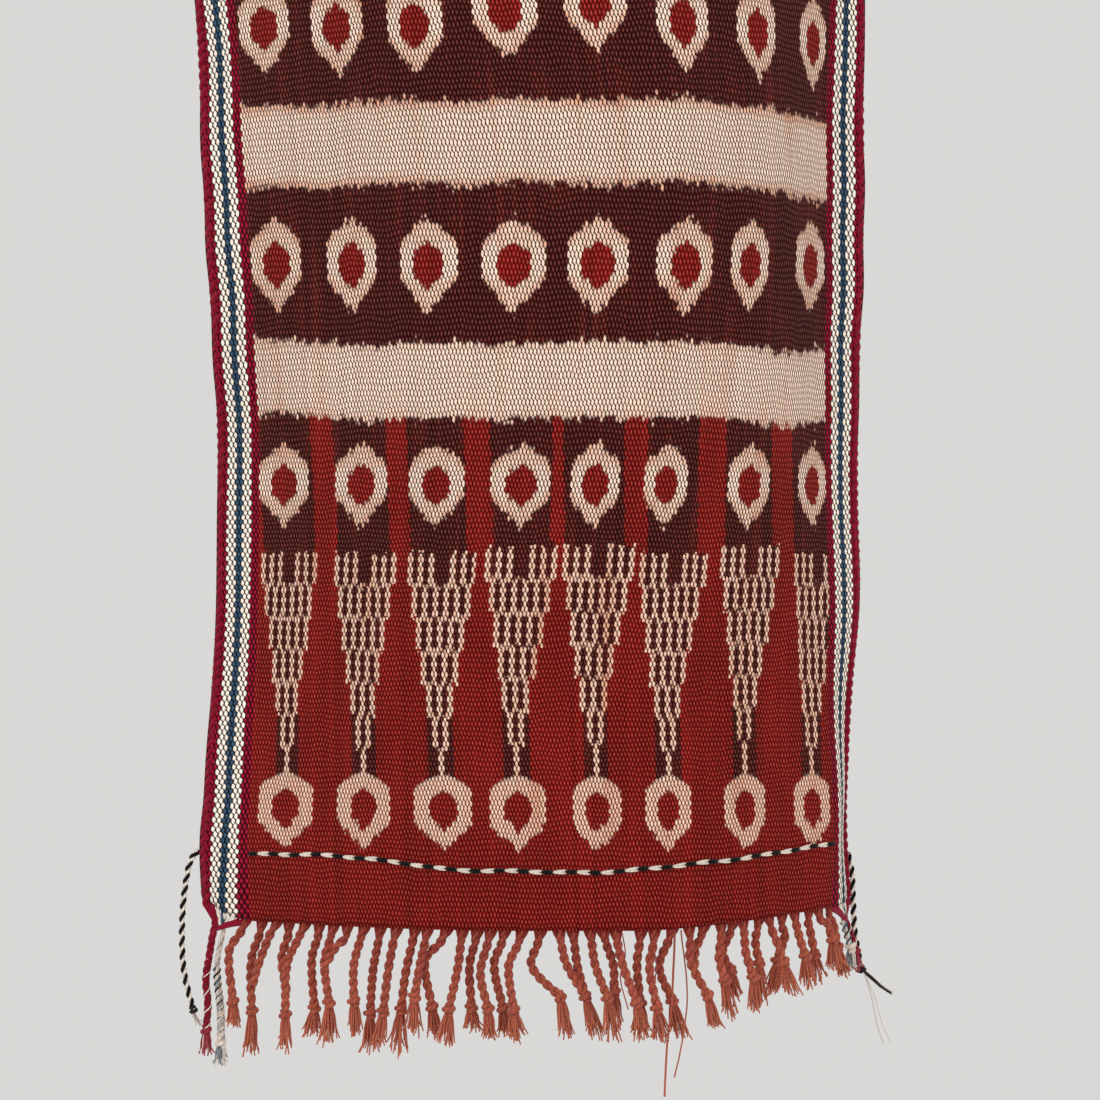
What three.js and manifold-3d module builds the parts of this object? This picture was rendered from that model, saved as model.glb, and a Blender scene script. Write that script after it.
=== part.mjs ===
// A woven shawl with fringed ends, hung over a plain round rod.
// Millimetres, +Z up. The origin is the middle of the rod's axis; the front half of the
// cloth hangs on the -Y side, the back half on the +Y side.
// "Height" is measured up from the front hem, and "across" from the left selvedge.
import * as THREE from "three";
import Module from "manifold-3d";

// ---- driving dimensions -------------------------------------------------------------
const ROD = { radius: 13, length: 440, bevel: 1.5, sides: 32 };
const SEAM = 0.3; // gap kept between neighbouring pieces
const FRONT_DROP = 910; // rod axis to the front hem
const BACK_DROP = 818; // rod axis to the back hem
const CLOTH = { wall: 2, border: 24.5, selvedge: 3, edge: 1.4 };
const STRIP_HEIGHT = 5; // heading of the fringe, the last picks under each panel
const FOLD_RADIUS = ROD.radius + SEAM + CLOTH.wall / 2; // rod axis to the cloth's middle
const FOLD_STEPS = 10;
const FIELD_STEPS = 16; // stations across the patterned field

// How the hanging cloth bows towards the viewer, a row for each height:
// height, x of the left selvedge, flat width, how far the left side, the right side and
// the right border turn back (degrees), and how far the foremost point leans out.
const DRAPE_COLUMNS = ["height", "left", "width", "turnLeft", "turnRight", "turnEdge", "lean"];
const DRAPE = [
  [0, -155.4, 324, 23.5, 38, 67, 20],
  [35, -156.7, 324, 23, 34, 78, 20],
  [57, -155.3, 324.5, 26, 35.5, 75, 20],
  [100, -153.1, 325.5, 31, 38, 62, 21],
  [143, -151.1, 328, 33.5, 41, 51, 22],
  [187, -150.6, 332, 33.5, 48, 48.5, 23],
  [230, -151.1, 338, 34, 54, 45, 25],
  [316, -156.1, 350, 32.5, 61, 36, 27],
  [402, -160.8, 358, 38, 56, 41.5, 28],
  [480, -166, 358, 33, 50, 45, 26],
  [600, -171, 358, 24, 36, 36, 19],
  [720, -175.5, 358, 14, 21, 21, 11],
  [830, -178.3, 358, 5, 7.5, 7.5, 4],
  [FRONT_DROP, -179, 358, 0, 0, 0, 0],
];
const APEX = 0.53; // share of the width at which the cloth faces straight forward
const PLAN_STEPS = 60; // steps that add up one level section

// Soft lengthwise troughs and ridges: share of the width, half width (mm), depth (mm),
// and the heights between which each fades in and out.
const CREASES = [
  { share: 0.715, half: 16, depth: -1.8, low: 40, high: 520 },
  { share: 0.6, half: 22, depth: 1.2, low: 20, high: 620 },
  { share: 0.33, half: 24, depth: 1.1, low: 60, high: 700 },
  { share: 0.2, half: 20, depth: -1.0, low: 150, high: 760 },
];
const CREASE_FADE = 70;

// The border is drawn in where its warps gather into the corner braids.
const CORNER_DRAW = { height: 12, share: 0.93 };

// The twined line lies on the field's face, lowest in the middle.
const TWINE = { middle: 25.5, leftRise: 4.5, rightRise: 9.5, tall: 2.2, thick: 1.3 };

// Fringe: twisted cords of even spacing, each with a knot and a frayed end.
const STRAND = { radius: 2, neck: 0.7, knot: 3, waist: 1.7, tassel: 2.6, swell: 4, twist: Math.PI / 4 };
const KNOT_HALF = 3.2;
const ROOT_SHARE = 0.45; // a braid's thin root against its full radius
const DEPTH_STAGGER = 2.85; // neighbours hang alternately before and behind the hem
// Sideways swing at half way and at the knot, drop to the knot, length of the frayed end.
// A strand with no frayed end stops against its neighbour's knot.
const FRONT_STRANDS = [
  [-6, -5.2, 36.7, 12], [-5.6, -6, 37.6, 15], [-6.2, -8.6, 30.5, 0], [-3.4, 0, 38, 13],
  [-4.6, -3.2, 31, 0], [-3.5, -3.5, 33, 11], [-2.6, -1.3, 33, 10], [-3.4, -4.2, 27, 0],
  [-3.5, -2.6, 32.4, 12], [-4.3, -4.7, 32.8, 12], [-3.5, -5.2, 34, 13], [-4.3, -6.5, 35, 11],
  [-3, -4.3, 27.6, 9], [-7.2, -5.6, 33, 12], [-6.5, -5.2, 33, 11], [-7.3, -3.9, 33, 10],
  [-4.3, 0, 32, 12], [-3.9, -1.3, 31.5, 10], [-4.7, -2.6, 29.4, 12], [-2.6, 6.8, 27.6, 10],
  [3, 8.2, 29.4, 13], [0.4, 6, 27.6, 12], [3.5, 7.3, 26.8, 11], [3.5, 5.6, 28.5, 13],
  [0.9, 6, 19.5, 9], [-0.4, 0.4, 33, 13], [-2.2, 1.3, 33, 12], [-3.9, 1.3, 32, 11],
  [-0.4, 6, 30.7, 13], [-2.6, 1.6, 24, 0], [-1.8, 1.3, 27, 11], [-1.3, 2.2, 26.5, 10],
  [0, 3.5, 29, 12], [0, 1.8, 26, 12], [2.2, 3.6, 25.7, 10], [2.2, 0.4, 19, 0],
  [0, 2.7, 28, 11], [2.2, 3.6, 29, 10], [2.7, 5, 31, 12], [4, 5.6, 36, 11],
];
// The longest loose end hangs beside the twenty-eighth strand, a little in front of it.
const LOOSE_THREAD = { strand: 28, radius: 0.55, lean: 1.9, swings: [0, -1.8, -4, -5], drops: [0, 30, 52, 72] };

// Corner braids at each end of the borders: how far out of the border's bottom edge they
// start (share of the border), radius, sideways swing and drop at each point.
const BRAIDS = {
  crimson: {
    share: 0.31, radius: 2, knot: 3, tassel: 3.6,
    swings: [0, 0, -0.6, -1.6, -2.2, -2.8], drops: [0, 9, 24, 42, 54, 65],
  },
  pale: {
    share: 0.57, radius: 1.6, knot: 2.5, tassel: 2.2,
    swings: [0, -0.8, -1.6, -1.4, -0.8, -0.4], drops: [0, 10, 24, 40, 57, 66],
  },
};
// The ends of the twined line, which hang free from each selvedge as a two-coloured twist.
const TAILS = {
  left: {
    height: 35, radius: 1.4, knot: 2.4,
    swings: [0, -4.6, -6.8, -8.2, -8.2, -6.8, -5, -4.4], drops: [0, 6, 16, 30, 40, 52, 66, 76],
  },
  right: {
    height: 27, radius: 1.4, knot: 2.4,
    swings: [0.6, 3.3, 3.7, 4.3, 5.6, 9.2, 14, 19], drops: [0, 8, 22, 34, 46, 52, 57, 61],
  },
};

// ---- the drape, worked out from its table ----------------------------------------------
const smooth = (t) => {
  const c = Math.min(1, Math.max(0, t));
  return c * c * (3 - 2 * c);
};

// One column of the drape at a height, along a smooth curve through the rows.
function drapeAt(name, height) {
  const column = DRAPE_COLUMNS.indexOf(name);
  const last = DRAPE.length - 1;
  const h = Math.min(DRAPE[last][0], Math.max(0, height));
  let row = 0;
  while (row < last - 1 && h > DRAPE[row + 1][0]) row += 1;
  const slope = (k) => {
    const a = Math.max(0, k - 1);
    const b = Math.min(last, k + 1);
    return (DRAPE[b][column] - DRAPE[a][column]) / (DRAPE[b][0] - DRAPE[a][0]);
  };
  const span = DRAPE[row + 1][0] - DRAPE[row][0];
  const t = (h - DRAPE[row][0]) / span;
  const t2 = t * t;
  const t3 = t2 * t;
  return (
    (2 * t3 - 3 * t2 + 1) * DRAPE[row][column] +
    (t3 - 2 * t2 + t) * span * slope(row) +
    (3 * t2 - 2 * t3) * DRAPE[row + 1][column] +
    (t3 - t2) * span * slope(row + 1)
  );
}

// How far the cloth is turned at a share of its width, in radians; back is positive.
function turnAt(share, turns) {
  if (share < APEX) {
    const q = (1.25 * (APEX - share)) / APEX - 0.12;
    return -turns.left * Math.sin((Math.PI / 2) * Math.min(1, Math.max(0, q)));
  }
  const q = ((share - APEX) / (1 - APEX) - 0.15) / 0.7;
  const side = turns.right * Math.sin((Math.PI / 2) * Math.min(1, Math.max(0, q)));
  return side + (turns.edge - turns.right) * smooth((share - 0.9) / 0.06);
}

const sectionCache = new Map();

// The level section at a height: points along it, from the left selvedge to the right.
function sectionAt(height) {
  const key = height.toFixed(4);
  if (sectionCache.has(key)) return sectionCache.get(key);
  const width = drapeAt("width", height);
  const turns = {
    left: THREE.MathUtils.degToRad(drapeAt("turnLeft", height)),
    right: THREE.MathUtils.degToRad(drapeAt("turnRight", height)),
    edge: THREE.MathUtils.degToRad(drapeAt("turnEdge", height)),
  };
  const step = width / PLAN_STEPS;
  const xs = [drapeAt("left", height)];
  const ys = [0];
  for (let k = 0; k < PLAN_STEPS; k += 1) {
    const turn = turnAt((k + 0.5) / PLAN_STEPS, turns);
    xs.push(xs[k] + Math.cos(turn) * step);
    ys.push(ys[k] + Math.sin(turn) * step);
  }
  const foremost = Math.min(...ys);
  const shift = -FOLD_RADIUS - drapeAt("lean", height) - foremost;
  const section = { width, turns, xs, ys: ys.map((y) => y + shift) };
  sectionCache.set(key, section);
  return section;
}

// The depth that the soft creases add at a share of the width.
function creaseAt(share, height, width) {
  let depth = 0;
  for (const crease of CREASES) {
    const away = ((share - crease.share) * width) / crease.half;
    const fade =
      smooth((height - crease.low) / CREASE_FADE) * smooth((crease.high - height) / CREASE_FADE);
    depth += crease.depth * fade * Math.exp(-away * away);
  }
  return depth;
}

// A point of the hanging cloth's middle surface with its forward normal.
// "back" moves the same section behind the rod.
function clothPoint(across, height, back = false) {
  const section = sectionAt(height);
  const share = across / section.width;
  const place = Math.min(PLAN_STEPS - 1e-6, Math.max(0, share * PLAN_STEPS));
  const k = Math.floor(place);
  const t = place - k;
  const turn = turnAt(share, section.turns);
  const normal = new THREE.Vector3(Math.sin(turn), -Math.cos(turn), 0);
  const point = new THREE.Vector3(
    section.xs[k] * (1 - t) + section.xs[k + 1] * t,
    section.ys[k] * (1 - t) + section.ys[k + 1] * t + (back ? 2 * FOLD_RADIUS : 0),
    height - FRONT_DROP,
  );
  point.addScaledVector(normal, creaseAt(share, height, section.width));
  return { point, normal };
}

// Stations across the cloth in flat millimetres, with the wall there: a rope-like selvedge,
// the border, then even steps over the field.
function stations(width) {
  const list = [
    [0, CLOTH.edge], [1.2, CLOTH.selvedge], [3.6, CLOTH.selvedge], [5, CLOTH.wall], [15, CLOTH.wall],
  ];
  const mirrored = list.map(([across, wall]) => [width - across, wall]).reverse();
  const field = width - 2 * CLOTH.border;
  const middle = [];
  for (let k = 0; k <= FIELD_STEPS; k += 1) {
    middle.push([CLOTH.border + (field * k) / FIELD_STEPS, CLOTH.wall]);
  }
  return [...list, ...middle, ...mirrored];
}

// Draws the border's warps together near a hem.
function drawnIn(across, width, aboveHem) {
  const keep = CORNER_DRAW.share + (1 - CORNER_DRAW.share) * smooth(aboveHem / CORNER_DRAW.height);
  if (across < CLOTH.border) return CLOTH.border - (CLOTH.border - across) * keep;
  const inner = width - CLOTH.border;
  return across > inner ? inner + (across - inner) * keep : across;
}

// ---- meshing ---------------------------------------------------------------------------
function geometryFrom(positions, triangles) {
  const geometry = new THREE.BufferGeometry();
  geometry.setAttribute("position", new THREE.Float32BufferAttribute(positions, 3));
  geometry.setIndex(triangles);
  geometry.computeVertexNormals();
  return geometry;
}

// Turns the triangles round when the body would face inwards.
function facingOut(points, triangles) {
  let volume = 0;
  for (const [a, b, c] of triangles) {
    volume += points[a].dot(new THREE.Vector3().crossVectors(points[b], points[c]));
  }
  return volume < 0 ? triangles.map(([a, b, c]) => [a, c, b]) : triangles;
}

function solidFrom(points, triangles) {
  const positions = points.flatMap((p) => [p.x, p.y, p.z]);
  return geometryFrom(positions, facingOut(points, triangles).flat());
}

// A closed wall from rows of samples: each sample has a middle point, a normal and a wall.
function wallGeometry(rows) {
  const across = rows[0].length;
  const count = rows.length * across;
  const points = [];
  for (const side of [0.5, -0.5]) {
    for (const row of rows) {
      for (const { point, normal, wall } of row) {
        points.push(point.clone().addScaledVector(normal, side * wall));
      }
    }
  }
  const triangles = [];
  const quad = (a, b, c, d) => triangles.push([a, b, c], [a, c, d]);
  const at = (j, i) => j * across + i;
  for (let j = 0; j < rows.length - 1; j += 1) {
    for (let i = 0; i < across - 1; i += 1) {
      quad(at(j, i), at(j, i + 1), at(j + 1, i + 1), at(j + 1, i));
      quad(count + at(j, i), count + at(j + 1, i), count + at(j + 1, i + 1), count + at(j, i + 1));
    }
  }
  for (let j = 0; j < rows.length - 1; j += 1) {
    quad(at(j, 0), at(j + 1, 0), count + at(j + 1, 0), count + at(j, 0));
    const i = across - 1;
    quad(at(j, i), count + at(j, i), count + at(j + 1, i), at(j + 1, i));
  }
  for (let i = 0; i < across - 1; i += 1) {
    quad(at(0, i), count + at(0, i), count + at(0, i + 1), at(0, i + 1));
    const j = rows.length - 1;
    quad(at(j, i), at(j, i + 1), count + at(j, i + 1), count + at(j, i));
  }
  return solidFrom(points, triangles);
}

// A closed body from level or free rings of equal count, with flat ends.
function ringGeometry(rings) {
  const sides = rings[0].length;
  const points = rings.flat();
  const triangles = [];
  for (let j = 0; j < rings.length - 1; j += 1) {
    for (let i = 0; i < sides; i += 1) {
      const next = (i + 1) % sides;
      const a = j * sides;
      const b = a + sides;
      triangles.push([a + i, a + next, b + next], [a + i, b + next, b + i]);
    }
  }
  const top = (rings.length - 1) * sides;
  for (let i = 1; i < sides - 1; i += 1) {
    triangles.push([0, i + 1, i], [top, top + i, top + i + 1]);
  }
  return solidFrom(points, triangles);
}

// A level ring of a hanging strand, of the same area as a round one of this radius.
function levelRing(centre, radius, sides, twist) {
  const wedge = (2 * Math.PI) / sides;
  const reach = radius * Math.sqrt(wedge / Math.sin(wedge));
  const ring = [];
  for (let i = 0; i < sides; i += 1) {
    const angle = twist + wedge * i;
    ring.push(
      new THREE.Vector3(centre.x + reach * Math.cos(angle), centre.y + reach * Math.sin(angle), centre.z),
    );
  }
  return ring;
}

const wasm = await Module();
wasm.setup();

function manifoldOf(geometry) {
  const mesh = new wasm.Mesh({
    numProp: 3,
    vertProperties: new Float32Array(geometry.attributes.position.array),
    triVerts: new Uint32Array(geometry.index.array),
  });
  return new wasm.Manifold(mesh);
}

// Joins strands to the strip that carries them.
function joined(geometries) {
  let solid = manifoldOf(geometries[0]);
  for (const geometry of geometries.slice(1)) solid = solid.add(manifoldOf(geometry));
  const mesh = solid.getMesh();
  return geometryFrom(Array.from(mesh.vertProperties), Array.from(mesh.triVerts));
}

// ---- pieces ----------------------------------------------------------------------------
function rodGeometry() {
  const { radius, length, bevel, sides } = ROD;
  const profile = [
    [0, -length / 2], [radius - bevel, -length / 2], [radius, bevel - length / 2],
    [radius, length / 2 - bevel], [radius - bevel, length / 2], [0, length / 2],
  ];
  const geometry = new THREE.LatheGeometry(profile.map(([r, y]) => new THREE.Vector2(r, y)), sides);
  geometry.rotateZ(Math.PI / 2);
  return geometry;
}

// The stretch that lies over the rod, from the front panel's top edge to the back's.
function foldGeometry() {
  const width = drapeAt("width", FRONT_DROP);
  const left = drapeAt("left", FRONT_DROP);
  const start = SEAM / 2 / FOLD_RADIUS;
  const rows = [];
  for (let j = 0; j <= FOLD_STEPS; j += 1) {
    const angle = start + ((Math.PI - 2 * start) * j) / FOLD_STEPS;
    const normal = new THREE.Vector3(0, -Math.cos(angle), Math.sin(angle));
    rows.push(
      stations(width).map(([across, wall]) => ({
        point: new THREE.Vector3(left + across, 0, 0).addScaledVector(normal, FOLD_RADIUS + (wall - CLOTH.wall) / 2),
        normal,
        wall,
      })),
    );
  }
  return wallGeometry(rows);
}

// A hanging panel from its fringe heading up to the rod. Its selvedge ropes stand out on the
// side away from the rod.
function panelGeometry(hemHeight, back) {
  const levels = [];
  const bottom = hemHeight + STRIP_HEIGHT;
  const top = FRONT_DROP - SEAM / 2;
  const lifts = [0, 8, 18, 30];
  for (const lift of lifts) levels.push(bottom + lift);
  for (const [height] of DRAPE) {
    if (height > levels[levels.length - 1] + 12 && height < top) levels.push(height);
  }
  levels.push(top);
  const rows = levels.map((height) => {
    const width = drapeAt("width", height);
    return stations(width).map(([across, wall]) => {
      const { point, normal } = clothPoint(drawnIn(across, width, height - hemHeight), height, back);
      point.addScaledVector(normal, (back ? -0.5 : 0.5) * (wall - CLOTH.wall));
      return { point, normal, wall };
    });
  });
  return wallGeometry(rows);
}

// The heading strip under a panel's field, which the strands grow from.
function stripGeometry(hemHeight, back) {
  const rows = [hemHeight, hemHeight + STRIP_HEIGHT - SEAM].map((height) => {
    const width = drapeAt("width", height);
    return stations(width)
      .filter(([across]) => across >= CLOTH.border - 1e-6 && across <= width - CLOTH.border + 1e-6)
      .map(([across, wall]) => ({ ...clothPoint(across, height, back), wall }));
  });
  return wallGeometry(rows);
}

// One strand: a thin root in the strip, the cord, its knot and its frayed end.
function strandGeometry(root, { mid, end, drop, tassel }, lean) {
  const below = (sway, depth) => new THREE.Vector3(sway, 0, -depth).add(lean);
  const path = new THREE.CatmullRomCurve3([
    new THREE.Vector3(0, 0, 0),
    below(mid, drop / 2),
    below(end, drop),
    below(end + 0.15 * (end - mid), drop + Math.max(tassel, 4)),
  ]);
  const at = (z) => {
    let low = 0;
    let high = 1;
    for (let k = 0; k < 24; k += 1) {
      const half = (low + high) / 2;
      if (path.getPoint(half).z > z) low = half;
      else high = half;
    }
    return path.getPoint(low).add(root);
  };
  const rows = [
    [0, STRAND.neck],
    [-STRAND.swell, STRAND.radius],
    [-drop / 2, STRAND.radius],
    [-drop + (tassel ? KNOT_HALF : 0.5), tassel ? STRAND.waist : STRAND.neck],
  ];
  if (tassel) {
    rows.push([-drop, STRAND.knot], [-drop - KNOT_HALF, STRAND.waist], [-drop - tassel, STRAND.tassel]);
  }
  const rings = rows.map(([z, radius]) => levelRing(at(z), radius, 4, STRAND.twist));
  const foot = rings[0].map((p) => p.clone().setZ(p.z + STRIP_HEIGHT / 2));
  return ringGeometry([foot, ...rings]);
}

function fringeGeometry(hemHeight, back, strands, extra = []) {
  const width = drapeAt("width", hemHeight);
  const field = width - 2 * CLOTH.border;
  const pieces = [stripGeometry(hemHeight, back)];
  strands.forEach(([mid, end, drop, tassel], k) => {
    const across = CLOTH.border + (field * (k + 0.5)) / strands.length;
    const { point, normal } = clothPoint(across, hemHeight, back);
    const lean = normal.multiplyScalar(k % 2 ? -DEPTH_STAGGER : DEPTH_STAGGER);
    pieces.push(strandGeometry(point, { mid, end, drop, tassel }, lean));
  });
  return joined([...pieces, ...extra]);
}

// The longest loose end hangs from the same strip as the strands.
function looseThreadGeometry() {
  const { strand, radius, lean, swings, drops } = LOOSE_THREAD;
  const width = drapeAt("width", 0);
  const field = width - 2 * CLOTH.border;
  const { point, normal } = clothPoint(CLOTH.border + (field * strand) / FRONT_STRANDS.length, 0);
  const rings = drops.map((drop, k) => {
    const centre = point.clone().add(new THREE.Vector3(swings[k], 0, -drop));
    return levelRing(centre.addScaledVector(normal, k ? lean : 0), radius, 3, 0);
  });
  const foot = rings[0].map((p) => p.clone().setZ(p.z + STRIP_HEIGHT / 2));
  return ringGeometry([foot, ...rings]);
}

// The back fringe swings the other way, each strand a little different.
function backStrands() {
  return FRONT_STRANDS.map((row, k) => {
    const sway = 2.1 * Math.sin(1.7 * k) + 1.2 * Math.sin(0.6 * k + 1);
    const drop = 30 + 3.4 * Math.sin(2.3 * k + 0.5);
    return [0.6 * sway, sway, drop, 11 + 1.6 * Math.sin(3.1 * k)];
  });
}

// The twined line follows the panel's face from border to border, at the panel's stations.
function twineGeometry(hemHeight, back) {
  const rings = [];
  for (let k = 0; k <= FIELD_STEPS; k += 1) {
    const share = k / FIELD_STEPS;
    const side = 2 * share - 1;
    const rise = side < 0 ? TWINE.leftRise : TWINE.rightRise;
    const height = hemHeight + TWINE.middle + rise * side * side;
    const width = drapeAt("width", height);
    const across = CLOTH.border + (width - 2 * CLOTH.border) * share;
    const { point, normal } = clothPoint(across, height, back);
    const out = back ? -1 : 1;
    const near = CLOTH.wall / 2 + SEAM;
    const ring = [
      [near, -TWINE.tall / 2], [near + TWINE.thick, -TWINE.tall / 4],
      [near + TWINE.thick, TWINE.tall / 4], [near, TWINE.tall / 2],
    ];
    rings.push(
      ring.map(([off, up]) => {
        const p = point.clone().addScaledVector(normal, out * off);
        return p.setZ(p.z + up);
      }),
    );
  }
  return ringGeometry(rings);
}

// A hanging cord of four sides through its points, with a knot before its frayed end.
// "swing" is the level direction that its sideways values follow.
function hangingGeometry(root, { swings, drops, radius, knot, tassel }, swing) {
  const last = drops.length - 1;
  const rings = drops.map((drop, k) => {
    const centre = root.clone().addScaledVector(swing, swings[k]);
    centre.z -= drop;
    let size = radius;
    if (k === 0) size = radius * ROOT_SHARE;
    if (k === last - 1) size = knot;
    if (k === last) size = tassel;
    return levelRing(centre, size, 4, STRAND.twist);
  });
  return ringGeometry(rings);
}

// Roots of the braids lie just under the border's drawn-in bottom edge.
function braidGeometry(braid, onRight, hemHeight, back) {
  const height = hemHeight + STRIP_HEIGHT;
  const width = drapeAt("width", height);
  const across = CLOTH.border * braid.share;
  const flat = drawnIn(onRight ? width - across : across, width, STRIP_HEIGHT);
  const { point } = clothPoint(flat, height, back);
  point.z -= SEAM;
  return hangingGeometry(point, braid, new THREE.Vector3(onRight ? -0.5 : 1, 0, 0));
}

// Roots of the twine's ends lie just outside the selvedge. In front they swing sideways, and
// behind they swing straight back.
function tailGeometry(tail, onRight, hemHeight, back) {
  const height = hemHeight + tail.height;
  const width = drapeAt("width", height);
  const flat = drawnIn(onRight ? width : 0, width, tail.height);
  const { point } = clothPoint(flat, height, back);
  const clear = SEAM + ROOT_SHARE * tail.radius;
  point.x += onRight ? clear : -clear;
  const swing = back ? new THREE.Vector3(0, onRight ? 0.6 : -0.6, 0) : new THREE.Vector3(1, 0, 0);
  return hangingGeometry(point, { ...tail, tassel: tail.radius }, swing);
}

// ---- materials and the assembled shawl -----------------------------------------------------
const finish = (color, roughness) => new THREE.MeshStandardMaterial({ color, roughness, metalness: 0 });
const CLOTH_RED = finish(0x8e2a1e, 0.9);
const FRINGE_RED = finish(0xa04a3c, 0.92);
const CRIMSON = finish(0x8f0f2e, 0.88);
const CREAM = finish(0xe8d3bf, 0.9);
const TWINE_DARK = finish(0x1c1614, 0.85);
const WOOD = finish(0xc39a6b, 0.55);

const shawl = new THREE.Group();

function addPiece(name, geometry, material) {
  const mesh = new THREE.Mesh(geometry, material.clone());
  mesh.name = name;
  shawl.add(mesh);
}

const BACK_HEM = FRONT_DROP - BACK_DROP;

addPiece("rod", rodGeometry(), WOOD);
addPiece("rod_fold", foldGeometry(), CLOTH_RED);
addPiece("front_panel", panelGeometry(0, false), CLOTH_RED);
addPiece("back_panel", panelGeometry(BACK_HEM, true), CLOTH_RED);
addPiece("front_twined_line", twineGeometry(0, false), TWINE_DARK);
addPiece("back_twined_line", twineGeometry(BACK_HEM, true), TWINE_DARK);
addPiece("front_fringe", fringeGeometry(0, false, FRONT_STRANDS, [looseThreadGeometry()]), FRINGE_RED);
addPiece("back_fringe", fringeGeometry(BACK_HEM, true, backStrands()), FRINGE_RED);
for (const [side, onRight] of [["left", false], ["right", true]]) {
  for (const [half, hem, back] of [["front", 0, false], ["back", BACK_HEM, true]]) {
    addPiece(`${half}_${side}_crimson_braid`, braidGeometry(BRAIDS.crimson, onRight, hem, back), CRIMSON);
    addPiece(`${half}_${side}_pale_braid`, braidGeometry(BRAIDS.pale, onRight, hem, back), CREAM);
    addPiece(`${half}_${side}_twine_end`, tailGeometry(TAILS[side], onRight, hem, back), TWINE_DARK);
  }
}

export default shawl;
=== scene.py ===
"""Dresses a hand-woven shawl that hangs over a plain round rod.

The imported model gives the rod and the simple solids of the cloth. This script lays one woven sheet over
the rod, colours it warp by warp, and adds the rope-like selvedges, the twined lines, the knotted fringes,
the corner braids and the free twine ends.

Sizes are in millimetres, and places are in the model's frame: +Z up, the rod's axis along X through the
origin, the front half of the cloth on the -Y side. "Height" is measured up from the front hem, "run" along
the cloth from the front hem over the rod to the back hem, and "across" from the left selvedge.
"""

from __future__ import annotations

import logging
import math
from collections.abc import Sequence
from dataclasses import dataclass, field
from enum import Enum
from typing import NamedTuple

import bpy
import numpy as np
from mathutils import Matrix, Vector


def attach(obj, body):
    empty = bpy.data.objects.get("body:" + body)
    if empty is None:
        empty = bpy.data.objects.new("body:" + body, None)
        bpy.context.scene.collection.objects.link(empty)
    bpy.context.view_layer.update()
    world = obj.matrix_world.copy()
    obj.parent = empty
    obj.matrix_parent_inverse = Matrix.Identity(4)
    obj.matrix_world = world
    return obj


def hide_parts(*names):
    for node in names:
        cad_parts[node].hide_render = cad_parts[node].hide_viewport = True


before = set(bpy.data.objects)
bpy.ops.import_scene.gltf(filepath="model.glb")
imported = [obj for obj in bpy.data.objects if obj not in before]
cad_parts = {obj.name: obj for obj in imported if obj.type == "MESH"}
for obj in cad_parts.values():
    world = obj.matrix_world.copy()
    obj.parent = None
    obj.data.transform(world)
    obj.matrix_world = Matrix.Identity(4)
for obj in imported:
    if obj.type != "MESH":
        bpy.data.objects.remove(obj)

LOG = logging.getLogger("shawl")
MM = 0.001
KNOT_STEPS = 26
KNOT_TURNS = 1.75
TUFT_TURN = 0.618
BODY = "root"

Colour = tuple[float, float, float]
Points = np.ndarray
Piece = bpy.types.Object
Socket = bpy.types.NodeSocket
Material = bpy.types.Material


class Half(Enum):
    """The two hanging halves of the cloth."""

    FRONT = "front"
    BACK = "back"


class Side(Enum):
    """The two selvedges, as seen from the front."""

    LEFT = "left"
    RIGHT = "right"

    @property
    def outward(self) -> float:
        """The way out of the cloth along X: -1 or 1."""
        return 1.0 if self is Side.RIGHT else -1.0


class Slot(Enum):
    """Material slots of the record."""

    CLOTH = "ikat_cloth"
    FRINGE = "fringe_cord"
    CRIMSON = "crimson_cord"
    PALE = "pale_cord"
    TWINE = "twine"
    WOOD = "rod_wood"


# ---- small helpers


def smooth(t: np.ndarray | float) -> np.ndarray | float:
    """Eases from 0 to 1 as t goes from 0 to 1."""
    c = np.clip(t, 0.0, 1.0)
    return c * c * (3 - 2 * c)


def hermite(knots: Sequence[float], values: Sequence[float], at: float) -> float:
    """Reads a smooth curve through values at increasing knots.

    Args:
        knots: Places of the values, in rising order.
        values: The value at each knot.
        at: The place to read, kept within the knots.

    Returns:
        The value there.
    """
    last = len(knots) - 1
    place = min(knots[last], max(knots[0], at))
    row = 0
    while row < last - 1 and place > knots[row + 1]:
        row += 1

    def slope(k: int) -> float:
        """The rise through a knot's neighbours."""
        a, b = max(0, k - 1), min(last, k + 1)
        return (values[b] - values[a]) / (knots[b] - knots[a])

    span = knots[row + 1] - knots[row]
    t = (place - knots[row]) / span
    return (
        (2 * t**3 - 3 * t**2 + 1) * values[row]
        + (t**3 - 2 * t**2 + t) * span * slope(row)
        + (3 * t**2 - 2 * t**3) * values[row + 1]
        + (t**3 - t**2) * span * slope(row + 1)
    )


def linear(red: int, green: int, blue: int) -> Colour:
    """A scene-linear colour from 8-bit display values."""
    shown = (value / 255 for value in (red, green, blue))
    return tuple(v / 12.92 if v <= 0.04045 else ((v + 0.055) / 1.055) ** 2.4 for v in shown)


# ---- the drape, as the model's solids have it


class DrapeRow(NamedTuple):
    """One level of the hanging cloth: sizes in millimetres, turns in degrees."""

    height: float
    left: float
    width: float
    turn_left: float
    turn_right: float
    turn_edge: float
    lean: float


class Crease(NamedTuple):
    """A soft lengthwise trough or ridge."""

    share: float
    half: float
    depth: float
    low: float
    high: float


@dataclass(frozen=True)
class Section:
    """A level cut through the hanging cloth."""

    width: float
    turns: tuple[float, float, float]
    xs: np.ndarray
    ys: np.ndarray


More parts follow.
